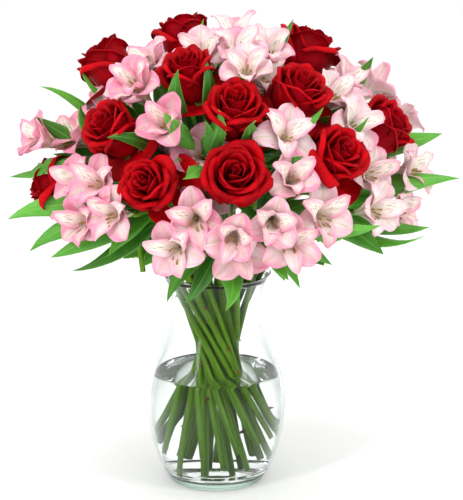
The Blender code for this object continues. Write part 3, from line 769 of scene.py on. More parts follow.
def green_finish(name, dark, light, edge, lines, rough, tint_light, shine=0.45):
    """Green skin from dark to light: so many lines run along V, tint_light is how far a sheet's own tint
    lightens it, edge colours its rim and midrib, and rough and shine set its wax."""
    finish = new_finish(name)
    uv = add(finish, "UVMap", uv_map="UVMap")
    split = add(finish, "SeparateXYZ", {"Vector": uv})
    tint = add(finish, "Attribute", attribute_name="tint")
    offset = add(finish, "Math", {0: tint.outputs["Fac"], 1: 23.0}, operation="MULTIPLY")
    place = add(finish, "CombineXYZ", {"X": split.outputs["X"], "Y": split.outputs["Y"], "Z": offset})
    along = add(finish, "Mapping", {"Vector": place, "Scale": (lines, 1.2, 1.0)})
    ribs = add(finish, "TexNoise", {"Vector": along, "Scale": 1.0, "Detail": 2.0})
    patch = add(finish, "TexNoise", {"Vector": add(finish, "TexCoord").outputs["Object"], "Scale": 55.0})
    mottled = add(finish, "Math", {0: patch, 1: 0.55, 2: -0.28}, operation="MULTIPLY_ADD")
    lit = add(finish, "Math", {0: tint.outputs["Fac"], 1: tint_light, 2: mottled}, operation="MULTIPLY_ADD")
    lined = add(finish, "Math", {0: ribs, 1: 0.5, 2: lit}, operation="MULTIPLY_ADD", use_clamp=True)
    tone = add(finish, "Mix", {"Factor": lined, "A": dark, "B": light}, data_type="RGBA")
    aside = add(finish, "Math", {0: split.outputs["X"], 1: 0.5}, operation="SUBTRACT")
    far = add(finish, "Math", {0: aside}, operation="ABSOLUTE")
    rim = add(finish, "MapRange", {"Value": far, "From Min": 0.42, "From Max": 0.5, "To Max": 0.6})
    rib = add(finish, "MapRange", {
        "Value": far, "From Min": 0.0, "From Max": 0.05, "To Min": 0.5, "To Max": 0.0,
    })
    both = add(finish, "Math", {0: rim, 1: rib}, operation="MAXIMUM")
    edged = add(finish, "Mix", {"Factor": both, "A": tone, "B": edge}, data_type="RGBA")
    ridges = add(finish, "Bump", {"Height": ribs, "Strength": 0.5, "Distance": 0.0004})
    wax = add(finish, "MapRange", {"Value": ribs, "To Min": rough - 0.08, "To Max": rough + 0.1})
    cover = add(finish, "BsdfPrincipled", {
        "Base Color": edged, "Roughness": wax, "Normal": ridges, "IOR": 1.45, "Specular IOR Level": shine,
        "Subsurface Weight": 0.10, "Subsurface Radius": (0.4, 1.0, 0.2), "Subsurface Scale": 0.0015,
    })
    add(finish, "OutputMaterial", {"Surface": cover})
    return finish


leaf_skin = green_finish("alstroemeria leaf, satin green", "#1F5A1A", "#5FAE36", "#92CC66", 11.0, 0.42, 0.75)
stem_skin = green_finish("cut stem, ribbed green", "#041400", "#64900F", "#2C5C04", 9.0, 0.34, 1.15, 0.20)
rose_leaf = green_finish("rose leaf and sepal, dark green", "#22581A", "#66B038", "#86BE54", 5.0, 0.5, 0.6)
thorn_skin = green_finish("rose thorn, red brown", "#5A2A16", "#9A5A34", "#7A3A22", 3.0, 0.5, 0.4)
print("plant skins:", [skin.name for skin in (leaf_skin, stem_skin, rose_leaf, thorn_skin)])

# %% [markdown]
# ## The roses
#
# Each rose is a stem with thorns, five sepals under the bloom, and the bloom. The stem is a tube: straight
# through the vase, one bend above the rim, then the hip, a swelling that carries the petals. No two
# blooms are alike, so each has its own size, openness and number of guard petals thrown back.

# %% Build twelve roses
WORLD_UP = np.array([0.0, 0.0, 1.0])
PETAL_THICKNESS = 0.00045
SEPAL_THICKNESS = 0.0005
THORNS = 9
THORN_ROOT = 0.0016
SEPAL_LENGTH = 0.024
SEPAL_HALF = 0.0036
# Petals thrown back on each rose, how far its cup has opened, and its width and height as shares.
GUARDS = np.array([0, 2, 0, 0, 3, 3, 0, 0, 2, 0, 3, 1])
OPENINGS = np.array([0.98, 0.95, 0.92, 0.96, 0.92, 0.94, 0.98, 1.06, 1.0, 0.94, 0.96, 0.94])
SIZES = np.array([0.88, 0.92, 0.86, 0.90, 0.90, 0.82, 0.88, 0.90, 1.00, 0.90, 0.92, 0.92])
BLOOM_HEIGHT = 0.97


def stem_path(index, end, aim, last):
    """Through the vase in a straight line, then one bend to the end, and the last points after it."""
    share = np.linspace(0, 1, 12)[:-1, None]
    low = foot_points[index] * (1 - share) + mouth_points[index] * share
    high = cubic(mouth_points[index], stem_rise[index], end, aim, 16)
    return np.concatenate([low, high, last])


def thorns_on(path, radius, chance):
    """Thorns: small cones that stand off the stem and hook down, at spots spread along the path.

    A thorn's middle line goes out evenly with s and down with s squared; its radius falls to a point.
    """
    along = unit(np.gradient(path, axis=0))
    share = np.sort(chance.uniform(0.03, 0.62, THORNS))
    place = share * (len(path) - 1)
    low = place.astype(int)
    foot = path[low] + (path[low + 1] - path[low]) * (place - low)[:, None]
    axis = along[low]
    away = unit(np.cross(axis, chance.normal(size=(THORNS, 3))))
    s = np.linspace(0, 1, 6)[None, :, None]
    reach = chance.uniform(0.0035, 0.0055, THORNS)[:, None, None]
    route = foot[:, None] + away[:, None] * (radius * 0.8 + reach * s) - axis[:, None] * reach * 0.45 * s**2
    return carried(route, THORN_ROOT * (1 - np.linspace(0, 1, 6)) ** 0.8 + 0.0001, 6)


def sepals(chance, rows=9, columns=5):
    """Five narrow green sepals that spread from the hip and turn down, as grids on +Z.

    Along a sepal the slope falls from steep to hanging, and radius and height are its running sums; the
    half width narrows to the tip with a slight wave.
    """
    s = np.linspace(0, 1, rows)[None, :, None]
    u = np.linspace(-1, 1, columns)[None, None, :]
    angle = (np.arange(5) * 2 * np.pi / 5 + chance.uniform(0, 1))[:, None, None]
    slope = np.radians(70 - 150 * s**0.8 + 12 * chance.uniform(-1, 1, 5)[:, None, None])
    step = SEPAL_LENGTH / (rows - 1)
    radius = 0.0055 + np.cumsum(np.cos(slope) * step, 1)
    height = -0.002 + np.cumsum(np.sin(slope) * step, 1)
    across = SEPAL_HALF * (1 - s) ** 0.7 * (1 + 0.15 * np.sin(9 * s)) * u
    x = radius * np.cos(angle) - across * np.sin(angle)
    y = radius * np.sin(angle) + across * np.cos(angle)
    return np.stack([x, y, height + 0.0006 * u**2 + 0 * angle], -1)


# The hip's points, as shares of its length, and how far it has swollen at each.
HIP_STEPS = np.array([0.3, 0.6, 0.85, 1.0])
HIP_SWELL = np.array([0.75, 1.0, 0.95, 0.6])

for k in range(rose_count):
    chance = np.random.default_rng(100 + k)
    number = f"{k + 1:02d}"
    aim = rose_aims[k]
    base = heads[k] - aim * ROSE_DEPTH / 2
    upright = standing(aim, WORLD_UP)
    neck = base - aim * HIP_LENGTH
    path = stem_path(k, neck, aim, neck + aim * HIP_LENGTH * HIP_STEPS[:, None])
    knots = np.arange(len(path) - len(HIP_STEPS))
    radii = np.concatenate([
        ROSE_STEM_RADIUS * (1 + 0.05 * np.sin(knots * 1.7 + k)), HIP_SWELL * HIP_RADIUS,
    ])
    stem = surface(f"rose_{number}_stem", [
        (carried(path, radii, 14)[None], True, 0, chance.uniform(0.0, 0.9), 0),
        (thorns_on(path[:24], ROSE_STEM_RADIUS, chance), True, 1, chance.uniform(size=THORNS), 0),
    ], [stem_skin, thorn_skin])
    cups = base + sepals(chance) @ upright.T
    cup = surface(
        f"rose_{number}_sepals", [(cups, False, 0, chance.uniform(size=5), 0)], [rose_leaf], SEPAL_THICKNESS
    )
    petals = rose_petals(chance, OPENINGS[k], GUARDS[k]) * [SIZES[k], SIZES[k], BLOOM_HEIGHT]
    petals = base + petals @ upright.T
    tints = chance.uniform(size=ROSE_PETALS)
    bloom = surface(
        f"rose_{number}_petals", [(petals, False, 0, tints, 0)], [petal_back, velvet], PETAL_THICKNESS, True
    )
    for piece in (stem, cup, bloom):
        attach(piece, "root")
    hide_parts(f"rose_stem_{number}")
    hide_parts(f"rose_bloom_{number}")
print("petals per rose:", ROSE_PETALS, "faces per bloom:", len(bloom.data.polygons))

# %% [markdown]
# ## Alstroemeria flowers
#
# A flower has six tepals in two whorls: three broad outer ones, and three narrower inner ones of which
# the upper two carry a cream blaze with short maroon dashes. They rise together as a throat and flare
# into a trumpet. Six stamens lean out of the throat and end in olive-brown anthers. Where two flowers, or
# a flower and a rose, would share a place, the flowers are moved a little apart, and where a tepal would
# still run into a rose it is pressed aside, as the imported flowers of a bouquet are.

# %% Tepals, stamens and pedicels of every flower
TEPAL_THICKNESS = 0.0004
TEPAL_LENGTH = 0.050
OUTER_HALF = 0.0132
INNER_HALF = 0.0084
PRESS_RADIUS = 0.026
FLOWER_SET_BACK = 0.033
# The lowest flowers rest on the vase's rim. They rise by this share of what they lack of a height over
# the middle, of which at most so much counts.
RIM_LIFT = 0.32
LIFT_BELOW = 0.045
LIFT_MOST = 0.05
# A flower's mouth, its room there, and how far a flower may be moved aside or sink.
MOUTH_HEIGHT = 0.022
MOUTH_ROOM = 0.0200
MOST_MOVE = 0.010
MOST_DROP = 0.003
# Share of a move that is taken back where it leads out of the bouquet.
KEPT_IN = 0.7


def tepals(chance, count, rows=15, columns=7):
    """Six tepals for each of count flowers, on +Z with the flower's top towards +Y.

    Along a tepal the slope falls from nearly upright in the throat to a flare and on over the tip;
    radius and height are its running sums. The half width grows from a claw to the blade and closes at a
    small point. Across, the blade is channelled: its edges stand up by a share of the half width, and
    ripple near the tip. The rows crowd towards the tip, where the outline is most curved.
    """
    s = np.sin(np.linspace(0, 1, rows) * np.pi / 2)[None, None, :, None]
    u = np.linspace(-1, 1, columns)[None, None, None, :]
    outer = (np.arange(6) % 2 == 0)[None, :, None, None]
    seat = np.radians(np.array([90, 30, 330, 270, 210, 150]))[None, :, None, None]
    upper = np.isin(np.arange(6), [1, 5])[None, :, None, None]
    jitter = chance.uniform(-1, 1, (8, count, 6))[..., None, None]
    bloom = chance.uniform(-1, 1, (3, count, 1))[..., None, None]
    length = TEPAL_LENGTH * (1 - 0.05 * outer + 0.03 * upper + 0.05 * jitter[0])
    flare = np.radians(np.where(outer, 22, 38) + 12 * jitter[1] + 18 * bloom[0])
    begin, span = np.where(outer, 0.22, 0.28) + 0.04 * jitter[2], np.where(outer, 0.62, 0.60)
    middle = (s[:, :, 1:] + s[:, :, :-1]) / 2
    slope = np.radians(82) - (np.radians(82) - flare) * smooth((middle - begin) / span)
    slope = slope - np.radians(48) * smooth((middle - 0.72) / 0.35) * (0.6 + 0.7 * jitter[3])
    step = length * (s[:, :, 1:] - s[:, :, :-1])
    zero = np.zeros((count, 6, 1, 1))
    radius = 0.0014 + np.concatenate([zero, np.cumsum(np.cos(slope) * step, 2)], 2)
    height = np.concatenate([zero, np.cumsum(np.sin(slope) * step, 2)], 2)
    slope = np.concatenate([slope, slope[:, :, -1:]], 2)
    blade = np.where(outer, OUTER_HALF, INNER_HALF) * (1 + 0.08 * jitter[4])
    widest = np.where(outer, 0.66, 0.62)
    swell = 0.17 + 0.83 * smooth(s / widest) ** 1.15
    taper = np.clip(1 - (np.clip(s - widest, 0, 1) / (1 - widest)) ** 1.9, 0, 1) ** 0.6
    half = blade * (swell * taper + 0.03 * (s > 0.99))
    across = half * u
    ripple = np.sin(s * 17 + u * 2.5 + 5 * jitter[5]) * 0.0021
    ruffle = ripple * np.abs(u) ** 1.5 * smooth((s - 0.35) / 0.4)
    lifted = half * np.where(outer, 0.30, 0.42) * u**2 + ruffle + 0.0004 * (1 - np.abs(u))
    angle = seat + np.radians(7) * jitter[6] + 0.05 * s * jitter[7]
    radius, height = radius - np.sin(slope) * lifted, height + np.cos(slope) * lifted
    x = radius * np.cos(angle) - across * np.sin(angle)
    y = radius * np.sin(angle) + across * np.cos(angle)
    return np.stack([x, y, height], -1)


def pressed(points, stand_off=PRESS_RADIUS):
    """Points inside the ball round a rose's cup moved nearly out to the ball, away from its middle.

    The share 0.15 of the depth stays, so that pressed points keep their order and don't lie in one skin.
    """
    for head, aim in zip(heads, rose_aims):
        core = head - aim * 0.002
        away = points - core
        far = np.linalg.norm(away, axis=-1, keepdims=True)
        points = np.where(far < stand_off, core + away / far * (stand_off - 0.15 * (stand_off - far)), points)
    return points


def stamens(chance, count, rows=9):
    """Paths of six stamens for each of count flowers: height grows evenly with s along the throat, and
    they spread and bow down with powers of s."""
    s = np.linspace(0, 1, rows)[:, None]
    seat = np.radians(60 * np.arange(6) + 20)[None, :, None]
    jitter = chance.uniform(-1, 1, (3, count, 6))[..., None]
    reach = 0.030 + 0.003 * jitter[0]
    wide = 0.0006 + (0.0045 + 0.0012 * jitter[1]) * s[:, 0] ** 1.5
    x, y = wide * np.cos(seat), wide * np.sin(seat) - (0.0055 + 0.002 * jitter[2]) * s[:, 0] ** 2.2
    return np.stack([x, y, 0.002 + reach * s[:, 0]], -1)


# A filament's radius at each step, and the anther's at the last two.
anther = np.array([0.30, 0.30, 0.28, 0.28, 0.26, 0.26, 0.24, 0.80, 0.85]) * MILLIMETRE
chance = np.random.default_rng(7)
outward = unit(flowers - MIDDLE)
# Flowers look outward, those of the front half more to the front and the rest more to the back.
shown = np.where(flowers[:, 1] < 0.03, -0.50, 0.35)[:, None] * np.array([0.0, 1.0, 0.0])
facing = unit(outward + shown + 0.20 * chance.uniform(-1, 1, outward.shape))
sunk = np.clip(MIDDLE[2] + LIFT_BELOW - flowers[:, 2], 0, LIFT_MOST)
flower_bases = flowers - outward * FLOWER_SET_BACK + np.outer(sunk, [0, 0, RIM_LIFT])
mouths = np.concatenate([flower_bases + facing * MOUTH_HEIGHT, heads])
mouth_rooms = np.repeat([MOUTH_ROOM, ROSE_RADIUS - 0.003], [flower_count, rose_count])
pushed = push_apart(mouths, mouth_rooms, np.repeat([1.0, 0.001], [flower_count, rose_count]), 60)
aside = (pushed - mouths)[:flower_count]
aside = aside - outward * np.clip((aside * outward).sum(1, keepdims=True), 0, None) * KEPT_IN
aside[:, 2] = np.maximum(aside[:, 2], -MOST_DROP)
moved = np.linalg.norm(aside, axis=1, keepdims=True)
flower_bases = flower_bases + aside * np.minimum(1, MOST_MOVE / np.maximum(moved, 1e-6))
print("flowers moved aside, mm:", round(moved.mean() * 1000, 1))
# The top of a flower leans to the sky, give or take 28 degrees, and on the bouquet's crown it leans back.
rolls = np.radians(28) * chance.uniform(-1, 1, flower_count)
sky = turned_about(np.broadcast_to(WORLD_UP, facing.shape), facing, rolls)
turns = standing(facing, sky + np.array([0.0, 0.35, 0.0]))
tepal_grids = np.einsum("fab,ftijb->ftija", turns, tepals(chance, flower_count))
tepal_grids = pressed(tepal_grids + flower_bases[:, None, None, None])
stamen_paths = np.einsum("fab,ftib->ftia", turns, stamens(chance, flower_count)) + flower_bases[:, None, None]
starts = apexes[owner_of] + umbel_aims[owner_of] * 0.003
pedicels = cubic(starts, unit(flower_bases - starts), flower_bases + facing * 0.001, facing, 12)
# A pedicel's radius at each of its 12 steps, with the ovary's swelling at the end.
ovary = np.full(12, PEDICEL_RADIUS)
ovary[-4:] = [0.0019, 0.0031, 0.0034, 0.0022]
print("tepals:", tepal_grids.shape[0] * 6, "stamens:", stamen_paths.shape[0] * 6)

# %% [markdown]
# ## Tepal finishes
#
# The face of a tepal is blush pink at its rim and fades to cream down the middle, with a green line that
# grows stronger to the tip. The inner upper pair has a cream blaze with maroon dashes, in rows about
# 1.7 mm apart, each up to 6 mm long and thickest at its middle. The dashes are made from the UV map: U is
# cut into rows, each row starts its dashes at its own place along V, half an arch of a sine gives a dash
# its width, a toss of chance leaves some out, and a mask keeps them in the middle of the tepal.
# The tepal is thin and moist, so light that enters it comes out a few millimetres on.

# %% Tepal face, tepal back, stamen
DASH_ROWS = 10.0
DASHES_ALONG = 5.0
# How much of each dash's own length is drawn, its greatest half width as a share of a row, and the share
# of dashes that is left out.
DASH_SHARE = 0.62
DASH_HALF = 0.15
DASHES_MISSING = 0.2


def tepal_finish(name, middle, rim, streak, spotted):
    """Tepal skin by U (across) and V (along), tinted pinker or paler by tint, with dashes by marks."""
    finish = new_finish(name)
    uv = add(finish, "UVMap", uv_map="UVMap")
    split = add(finish, "SeparateXYZ", {"Vector": uv})
    u, v = split.outputs["X"], split.outputs["Y"]
    tint = add(finish, "Attribute", attribute_name="tint").outputs["Fac"]
    marks = add(finish, "Attribute", attribute_name="marks").outputs["Fac"]
    offset = add(finish, "Math", {0: tint, 1: 29.0}, operation="MULTIPLY")
    place = add(finish, "CombineXYZ", {"X": u, "Y": v, "Z": offset})
    long = add(finish, "Mapping", {"Vector": place, "Scale": (13.0, 1.4, 1.0)})
    veins = add(finish, "TexNoise", {"Vector": long, "Scale": 1.0, "Detail": 3.0})
    slow = add(finish, "Mapping", {"Vector": place, "Scale": (1.7, 1.7, 1.0)})
    cloud = add(finish, "TexNoise", {"Vector": slow, "Scale": 1.0, "Detail": 2.0})
    aside = add(finish, "Math", {0: u, 1: 0.5}, operation="SUBTRACT")
    far = add(finish, "Math", {0: aside}, operation="ABSOLUTE")
    outward = add(finish, "MapRange", {"Value": v, "From Min": 0.25, "From Max": 1.0, "To Max": 0.62})
    edge = add(finish, "Math", {0: far, 1: 0.75, 2: outward}, operation="MULTIPLY_ADD")
    clouded = add(finish, "Math", {0: cloud, 1: 1.3, 2: edge}, operation="MULTIPLY_ADD")
    ribbed = add(finish, "Math", {0: veins, 1: 0.9, 2: clouded}, operation="MULTIPLY_ADD")
    tinted = add(finish, "Math", {0: tint, 1: 0.55, 2: ribbed}, operation="MULTIPLY_ADD")
    flush = add(finish, "MapRange", {"Value": tinted, "From Min": 1.15, "From Max": 2.2})
    skin = add(finish, "Mix", {"Factor": flush, "A": middle, "B": rim}, data_type="RGBA")
    line = add(finish, "MapRange", {
        "Value": far, "From Min": 0.01, "From Max": 0.07, "To Min": 1.0, "To Max": 0.0,
    })
    tip = add(finish, "MapRange", {
        "Value": v, "From Min": 0.35, "From Max": 0.95, "To Min": 0.15, "To Max": 0.8,
    })
    stripe = add(finish, "Math", {0: line, 1: tip}, operation="MULTIPLY")
    striped = add(finish, "Mix", {"Factor": stripe, "A": skin, "B": streak}, data_type="RGBA")
    # The throat is cream-yellow, as it is on the flower, and is painted paler than that to lift the shade
    # that falls into it.
    pale_throat_and_painted_light = add(finish, "MapRange", {
        "Value": v, "From Min": 0.08, "From Max": 0.36, "To Min": 0.8, "To Max": 0.0,
    })
    colour = add(finish, "Mix", {"Factor": pale_throat_and_painted_light, "A": striped, "B": "#E9EDB4"}, data_type="RGBA")
    if spotted:
        begin = add(finish, "MapRange", {"Value": v, "From Min": 0.28, "From Max": 0.42})
        end = add(finish, "MapRange", {
            "Value": v, "From Min": 0.62, "From Max": 0.80, "To Min": 1.0, "To Max": 0.0,
        })
        zone = add(finish, "Math", {0: begin, 1: end}, operation="MULTIPLY")
        zone = add(finish, "Math", {0: zone, 1: marks}, operation="MULTIPLY")
        inner = add(finish, "MapRange", {
            "Value": far, "From Min": 0.20, "From Max": 0.38, "To Min": 1.0, "To Max": 0.0,
        })
        zone = add(finish, "Math", {0: zone, 1: inner}, operation="MULTIPLY")
        blaze = add(finish, "Math", {0: zone, 1: 0.7}, operation="MULTIPLY")
        colour = add(finish, "Mix", {"Factor": blaze, "A": colour, "B": "#FFFAE6"}, data_type="RGBA")
        row = add(finish, "Math", {0: u, 1: DASH_ROWS}, operation="MULTIPLY")
        cell = add(finish, "Math", {0: row}, operation="FLOOR")
        seed = add(finish, "Math", {0: cell, 1: offset}, operation="ADD")
        luck = add(finish, "TexWhiteNoise", {"W": seed}, noise_dimensions="1D")
        shift = luck.outputs["Value"]
        along = add(finish, "Math", {0: v, 1: DASHES_ALONG, 2: shift}, operation="MULTIPLY_ADD")
        beat = add(finish, "Math", {0: along}, operation="FRACT")
        swing = add(finish, "Math", {0: beat, 1: np.pi / DASH_SHARE}, operation="MULTIPLY")
        arch = add(finish, "Math", {0: swing}, operation="SINE")
        swell = add(finish, "Math", {0: arch, 1: DASH_HALF}, operation="MULTIPLY")
        dash = add(finish, "Math", {0: along}, operation="FLOOR")
        spot = add(finish, "CombineXYZ", {"X": seed, "Y": dash})
        toss = add(finish, "TexWhiteNoise", {"Vector": spot}, noise_dimensions="3D")
        kept = add(finish, "Math", {0: toss.outputs["Value"], 1: DASHES_MISSING}, operation="GREATER_THAN")
        inrow = add(finish, "Math", {0: row}, operation="FRACT")
        centre = add(finish, "Math", {0: inrow, 1: 0.5}, operation="SUBTRACT")
        close = add(finish, "Math", {0: centre}, operation="ABSOLUTE")
        inside = add(finish, "Math", {0: close, 1: swell}, operation="LESS_THAN")
        stroke = add(finish, "Math", {0: inside, 1: kept}, operation="MULTIPLY")
        stroke = add(finish, "Math", {0: stroke, 1: zone}, operation="MULTIPLY", use_clamp=True)
        colour = add(finish, "Mix", {"Factor": stroke, "A": colour, "B": "#7A2A38"}, data_type="RGBA")
    ridges = add(finish, "Bump", {"Height": veins, "Strength": 0.3, "Distance": 0.0003})
    gloss = add(finish, "MapRange", {"Value": veins, "To Min": 0.42, "To Max": 0.6})
    cover = add(finish, "BsdfPrincipled", {
        "Base Color": colour, "Roughness": gloss, "Normal": ridges, "IOR": 1.4, "Specular IOR Level": 0.3,
        "Subsurface Weight": 0.4, "Subsurface Radius": (1.0, 0.7, 0.7), "Subsurface Scale": 0.004,
        "Sheen Weight": 0.12, "Sheen Roughness": 0.5,
    })
    add(finish, "OutputMaterial", {"Surface": cover})
    return finish


tepal_face = tepal_finish("alstroemeria tepal face, blush pink", "#F9EFE9", "#EE89A6", "#AEB05C", True)
tepal_back = tepal_finish("alstroemeria tepal back, pale pink", "#F8E4E1", "#EA8CA8", "#A2AE54", False)

stamen_skin = new_finish("stamen and anther, cream to olive brown")
# A smooth cream filament, then dry pollen whose grain is finer than a millimetre.
split = add(stamen_skin, "SeparateXYZ", {"Vector": add(stamen_skin, "UVMap", uv_map="UVMap")})
dust = add(stamen_skin, "TexNoise", {
    "Vector": add(stamen_skin, "TexCoord").outputs["Object"], "Scale": 1500.0,
})
shade = add(stamen_skin, "Math", {0: dust, 1: 0.08, 2: split.outputs["Y"]}, operation="MULTIPLY_ADD")
tone = add(stamen_skin, "ValToRGB", {"Fac": shade}, stops=(
    (0.70, "#F7E6DC"), (0.82, "#A88A44"), (0.98, "#8C7036"),
))
cover = add(stamen_skin, "BsdfPrincipled", {"Base Color": tone, "Roughness": 0.6, "Specular IOR Level": 0.3})
add(stamen_skin, "OutputMaterial", {"Surface": cover})
print("tepal finishes ready; dash rows:", int(DASH_ROWS))

# %% [markdown]
# ## Leaves
#
# An alstroemeria leaf is a lance: widest before its middle, folded a little along its midrib, drawn to a
# point, and it twists as it grows. Its middle line is a quadratic curve that bows outward, nods at the
# tip and sways to one side. Every stem also has a whorl of low leaves right under its flowers, which fills
# the bouquet's inside with green, and a few tall ones that come up through the gaps: of several ways to
# grow, each takes the one that keeps furthest from the blooms.

# %% Leaf blades
LEAF_THICKNESS = 0.0005
LEAF_SAG = 0.14


def blades(base, tip, width, twist, nod, sway, widest=1.12, teeth=0, rows=15, columns=5):
    """Leaves as grids: points of a bowed path plus u times the half width along a twisting side line.

    The half width is an arch of a sine over s to the power widest, so a power over 1 moves the widest
    place towards the tip; teeth takes so many saw teeth from it. The blade folds up with u to 1.5.
    """
    along = tip - base
    size = np.linalg.norm(along, axis=-1)[:, None, None]
    centre = (base + tip) / 2
    show = np.stack([0 * along[:, 0], np.where(tip[:, 1] < 0.04, -0.9, 0.9), 0.6 + 0 * along[:, 0]], -1)
    across = unit(np.cross(along, show))
    out = unit(np.cross(across, along))
    out = np.where((out * (tip - MIDDLE)).sum(-1, keepdims=True) < 0, -out, out)
    s = np.linspace(0, 1, rows)[None, :, None]
    bow = centre[:, None] + (out * size[:, 0] * LEAF_SAG)[:, None]
    path = base[:, None] * (1 - s) ** 2 + bow * 2 * s * (1 - s) + tip[:, None] * s**2
    path = path - WORLD_UP * nod[:, None, None] * size * s**2.5
    path = path + across[:, None] * sway[:, None, None] * size * (s * (1.9 - s) - 0.9 * s**6)
    ahead = unit(np.gradient(path, axis=1))
    side = unit(across[:, None] - ahead * (ahead * across[:, None]).sum(-1, keepdims=True))
    angle = twist[:, None] * (s[..., 0] - 0.25)
    side = turned_about(side, ahead, angle)
    face = np.cross(side, ahead)
    lance = np.sin(np.pi * s**widest) ** 0.9 + 0.12 * (1 - s) + 0.012
    lance = lance * (1 - 0.2 * (s * teeth % 1))
    half = (width[:, None, None] * 0.55 * lance)[:, :, None]
    u = np.linspace(-1, 1, columns)[None, None, :, None]
    wave = np.sin(s * 7 + width[:, None, None] * 900)[:, :, None] * 0.05 * u
    fold = 0.30 * np.abs(u) ** 1.5 + wave
    return path[:, :, None] + side[:, :, None] * half * u - face[:, :, None] * half * fold


leaf_aims = in_direction(LEAVES[:, 0], LEAVES[:, 1])
leaf_owner = (leaf_aims @ umbel_aims.T).argmax(1)
joints = apexes[leaf_owner] - umbel_aims[leaf_owner] * LEAF_DROP
leaf_tips = MIDDLE + leaf_aims * LEAVES[:, 2:3]
# Low leaves of the whorl and tall leaves on each stem, their lengths and widths, and how steeply the
# tall ones rise.
WHORL, WHORL_LENGTH = 5, (0.048, 0.062)
TALL, TALL_LENGTH, TALL_RISE = 4, (0.070, 0.088), (1.0, 3.2)
YOUNG_WIDTH = (0.012, 0.017)
TRIALS = 12
# How far leaves and their tips stand off a rose's middle.
LEAF_STAND_OFF = 0.029
WHORL_STAND_OFF = 0.036
FLOWER_CORE = 0.024
ROSE_CORE = 0.031
crowd = np.concatenate([flower_bases + facing * FLOWER_CORE, heads])
crowd_room = np.repeat([FLOWER_CORE, ROSE_CORE], [flower_count, rose_count])


def free_tips(root, turn_to, chance):
    """Tips for tall leaves: of the rays tried in each sector, the one that keeps furthest from all blooms."""
    bearing = (np.arange(TALL)[:, None] + chance.uniform(0, 1, (TALL, TRIALS))) * 2 * np.pi / TALL
    rise = chance.uniform(*TALL_RISE, (TALL, TRIALS))
    rays = unit(np.stack([np.cos(bearing), np.sin(bearing), rise], -1)) @ turn_to.T
    length = chance.uniform(*TALL_LENGTH, (TALL, TRIALS))[..., None]
    spare = np.full((TALL, TRIALS), np.inf)
    for part in (0.65, 0.85, 1.0):
        spots = root + rays * length * part
        away = np.linalg.norm(spots[:, :, None] - crowd, axis=-1) - crowd_room
        spare = np.minimum(spare, away.min(-1))
    best = spare.argmax(1)
    return (root + rays * length)[np.arange(TALL), best]


# %% Build seventeen stems of alstroemeria
# Flowers grow paler from the bouquet's left to its right, and two stems are of a deeper pink.
MEAN_PINK, PALER_TO_RIGHT, DEEPER = 0.45, 2.2, 0.35
DEEPER_PINK = (2, 8)
# The stem swells a little where it runs on past the point that the pedicels leave from.
STEM_TOP, STEM_TOP_RADIUS = 0.004, 0.0032
# How strongly each of a flower's six tepals is dashed.
DASHED = (0, 1, 0, 0.25, 0, 1)

for k, size in enumerate(umbel_sizes):
    chance = np.random.default_rng(300 + k)
    number = f"{k + 1:02d}"
    index = rose_count + k
    aim = umbel_aims[k]
    below = apexes[k] - aim * STRAIGHT_END
    top = np.array([[0.5 * STRAIGHT_END], [STRAIGHT_END], [STRAIGHT_END + STEM_TOP]])
    path = stem_path(index, below, aim, below + aim * top)
    radii = np.full(len(path), ALSTROEMERIA_STEM_RADIUS)
    radii[-1] = STEM_TOP_RADIUS
    stem = surface(
        f"alstroemeria_{number}_stem",
        [(carried(path, radii, 12)[None], True, 0, chance.uniform(0.0, 1.0), 0)], [stem_skin],
    )
    mine = leaf_owner == k
    fans = standing(aim, WORLD_UP)
    round_about = (np.arange(WHORL) + chance.uniform(-0.3, 0.3, WHORL)) * 2 * np.pi / WHORL
    climbs = 0.8 + 0.4 * chance.uniform(-1, 1, WHORL)
    rays = fans @ np.stack([np.cos(round_about), np.sin(round_about), climbs])
    low_root = apexes[k] - aim * 0.001
    low_tips = low_root + unit(rays.T) * chance.uniform(*WHORL_LENGTH, (WHORL, 1))
    low_tips = pressed(low_tips, WHORL_STAND_OFF)
    whorl_base = np.broadcast_to(low_root, (WHORL + TALL, 3))
    whorl_tip = np.concatenate([low_tips, free_tips(low_root, fans, chance)])
    roots = np.concatenate([joints[mine], whorl_base])
    tips = np.concatenate([leaf_tips[mine], whorl_tip])
    widths = np.concatenate([LEAVES[mine, 3], chance.uniform(*YOUNG_WIDTH, WHORL + TALL)])
    total = len(roots)
    twists, nods, sways = chance.uniform(-1, 1, (3, total))
    grids = blades(roots, tips, widths, np.radians(60) * twists, 0.08 + 0.10 * nods, 0.13 * sways)
    leaves = surface(
        f"alstroemeria_{number}_leaves",
        [(pressed(grids, LEAF_STAND_OFF), False, 0, chance.uniform(size=total), 0)], [leaf_skin],
        LEAF_THICKNESS,
    )
    own = owner_of == k
    shape = tepal_grids.shape[2:]
    pinker = MEAN_PINK - PALER_TO_RIGHT * centres[k, 0] + 0.15 * chance.uniform(-1, 1)
    pinker = pinker + DEEPER * (k in DEEPER_PINK)
    blush = np.clip(pinker + 0.15 * chance.uniform(-1, 1, (size, 6)), 0, 1).ravel()
    marked = np.tile(DASHED, size)
    crown = surface(
        f"alstroemeria_{number}_tepals",
        [(tepal_grids[own].reshape(-1, *shape), False, 0, blush, marked)], [tepal_back, tepal_face],
        TEPAL_THICKNESS, True,
    )
    pollen = surface(
        f"alstroemeria_{number}_stamens",
        [(carried(stamen_paths[own].reshape(-1, 9, 3), anther, 5), True, 0, 0.5, 0)], [stamen_skin],
    )
    stalks = surface(
        f"alstroemeria_{number}_pedicels",
        [(carried(pedicels[own], ovary, 8), True, 0, chance.uniform(0.4, 1.0, size), 0)], [stem_skin],
    )
    for piece, slot in (
        (stem, "alstroemeria_foliage"), (leaves, "alstroemeria_foliage"), (crown, "alstroemeria_tepals"),
        (pollen, "alstroemeria_tepals"), (stalks, "alstroemeria_foliage"),
    ):
        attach(piece, "root")
    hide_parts(f"alstroemeria_stem_{number}")
    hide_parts(f"alstroemeria_umbel_{number}")
print("alstroemeria stems:", len(UMBELS), "leaves:", len(LEAVES) + (WHORL + TALL) * len(UMBELS))

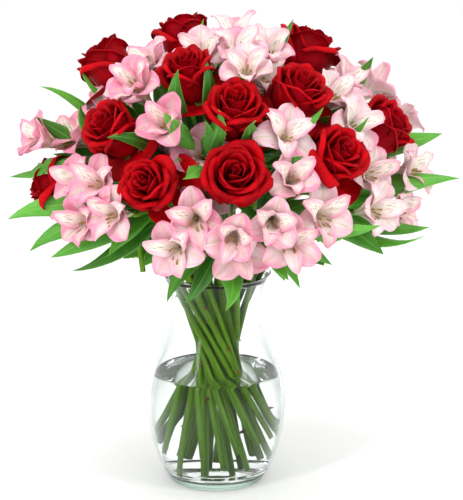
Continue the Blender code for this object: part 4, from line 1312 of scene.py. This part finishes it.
# %% [markdown]
# ## Rose leaflets and a cut stub
#
# A rose leaf is made of oval leaflets with toothed edges, darker and rounder than the alstroemeria's. A
# few of them show between the blooms, and low on the left one stem was cut off short. The leaflets are the
# same blades with their widest place moved down and saw teeth taken from their width, on more rows, so
# that the teeth stay sharp.

# %% Build the leaflets
# Bearing, tilt and reach of the root and of the tip, and the width.
LEAFLETS = np.array((
    (-14, 50, 0.145, -24, 45, 0.182, 0.015), (-8, 52, 0.145, -3, 44, 0.184, 0.016),
    (-10, 56, 0.140, -13, 64, 0.178, 0.015), (-72, 90, 0.060, -80, 93, 0.108, 0.018),
    (-66, 94, 0.060, -68, 100, 0.104, 0.019), (-60, 97, 0.055, -54, 103, 0.096, 0.018),
    (152, 66, 0.140, 160, 60, 0.184, 0.018), (148, 70, 0.140, 143, 76, 0.182, 0.018),
    (-146, 30, 0.150, -136, 26, 0.184, 0.017), (-150, 94, 0.070, -144, 100, 0.120, 0.019),
    (58, 94, 0.070, 52, 99, 0.112, 0.018), (100, 92, 0.070, 108, 96, 0.120, 0.018),
))
LEAFLET_TEETH = 11
STUB_RADIUS = 0.0026
STUB_PATH = np.array([
    [-0.071, -0.042, 0.246], [-0.070, -0.042, 0.238], [-0.068, -0.042, 0.225], [-0.0665, -0.042, 0.213],
])
chance = np.random.default_rng(900)
leaflet_roots = MIDDLE + in_direction(LEAFLETS[:, 0], LEAFLETS[:, 1]) * LEAFLETS[:, 2:3]
leaflet_tips = MIDDLE + in_direction(LEAFLETS[:, 3], LEAFLETS[:, 4]) * LEAFLETS[:, 5:6]
twists, sways = chance.uniform(-1, 1, (2, len(LEAFLETS)))
grids = blades(
    leaflet_roots, leaflet_tips, LEAFLETS[:, 6], np.radians(50) * twists, 0 * twists + 0.06, 0.12 * sways,
    widest=0.80, teeth=LEAFLET_TEETH, rows=45, columns=7,
)
leaflets = surface("rose_leaflets", [
    (grids, False, 0, chance.uniform(size=len(LEAFLETS)), 0),
    (carried(STUB_PATH, STUB_RADIUS, 12)[None], True, 1, 0.6, 0),
], [rose_leaf, stem_skin], LEAF_THICKNESS)
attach(leaflets, "root")
print("leaflets:", len(LEAFLETS), "and one stub")
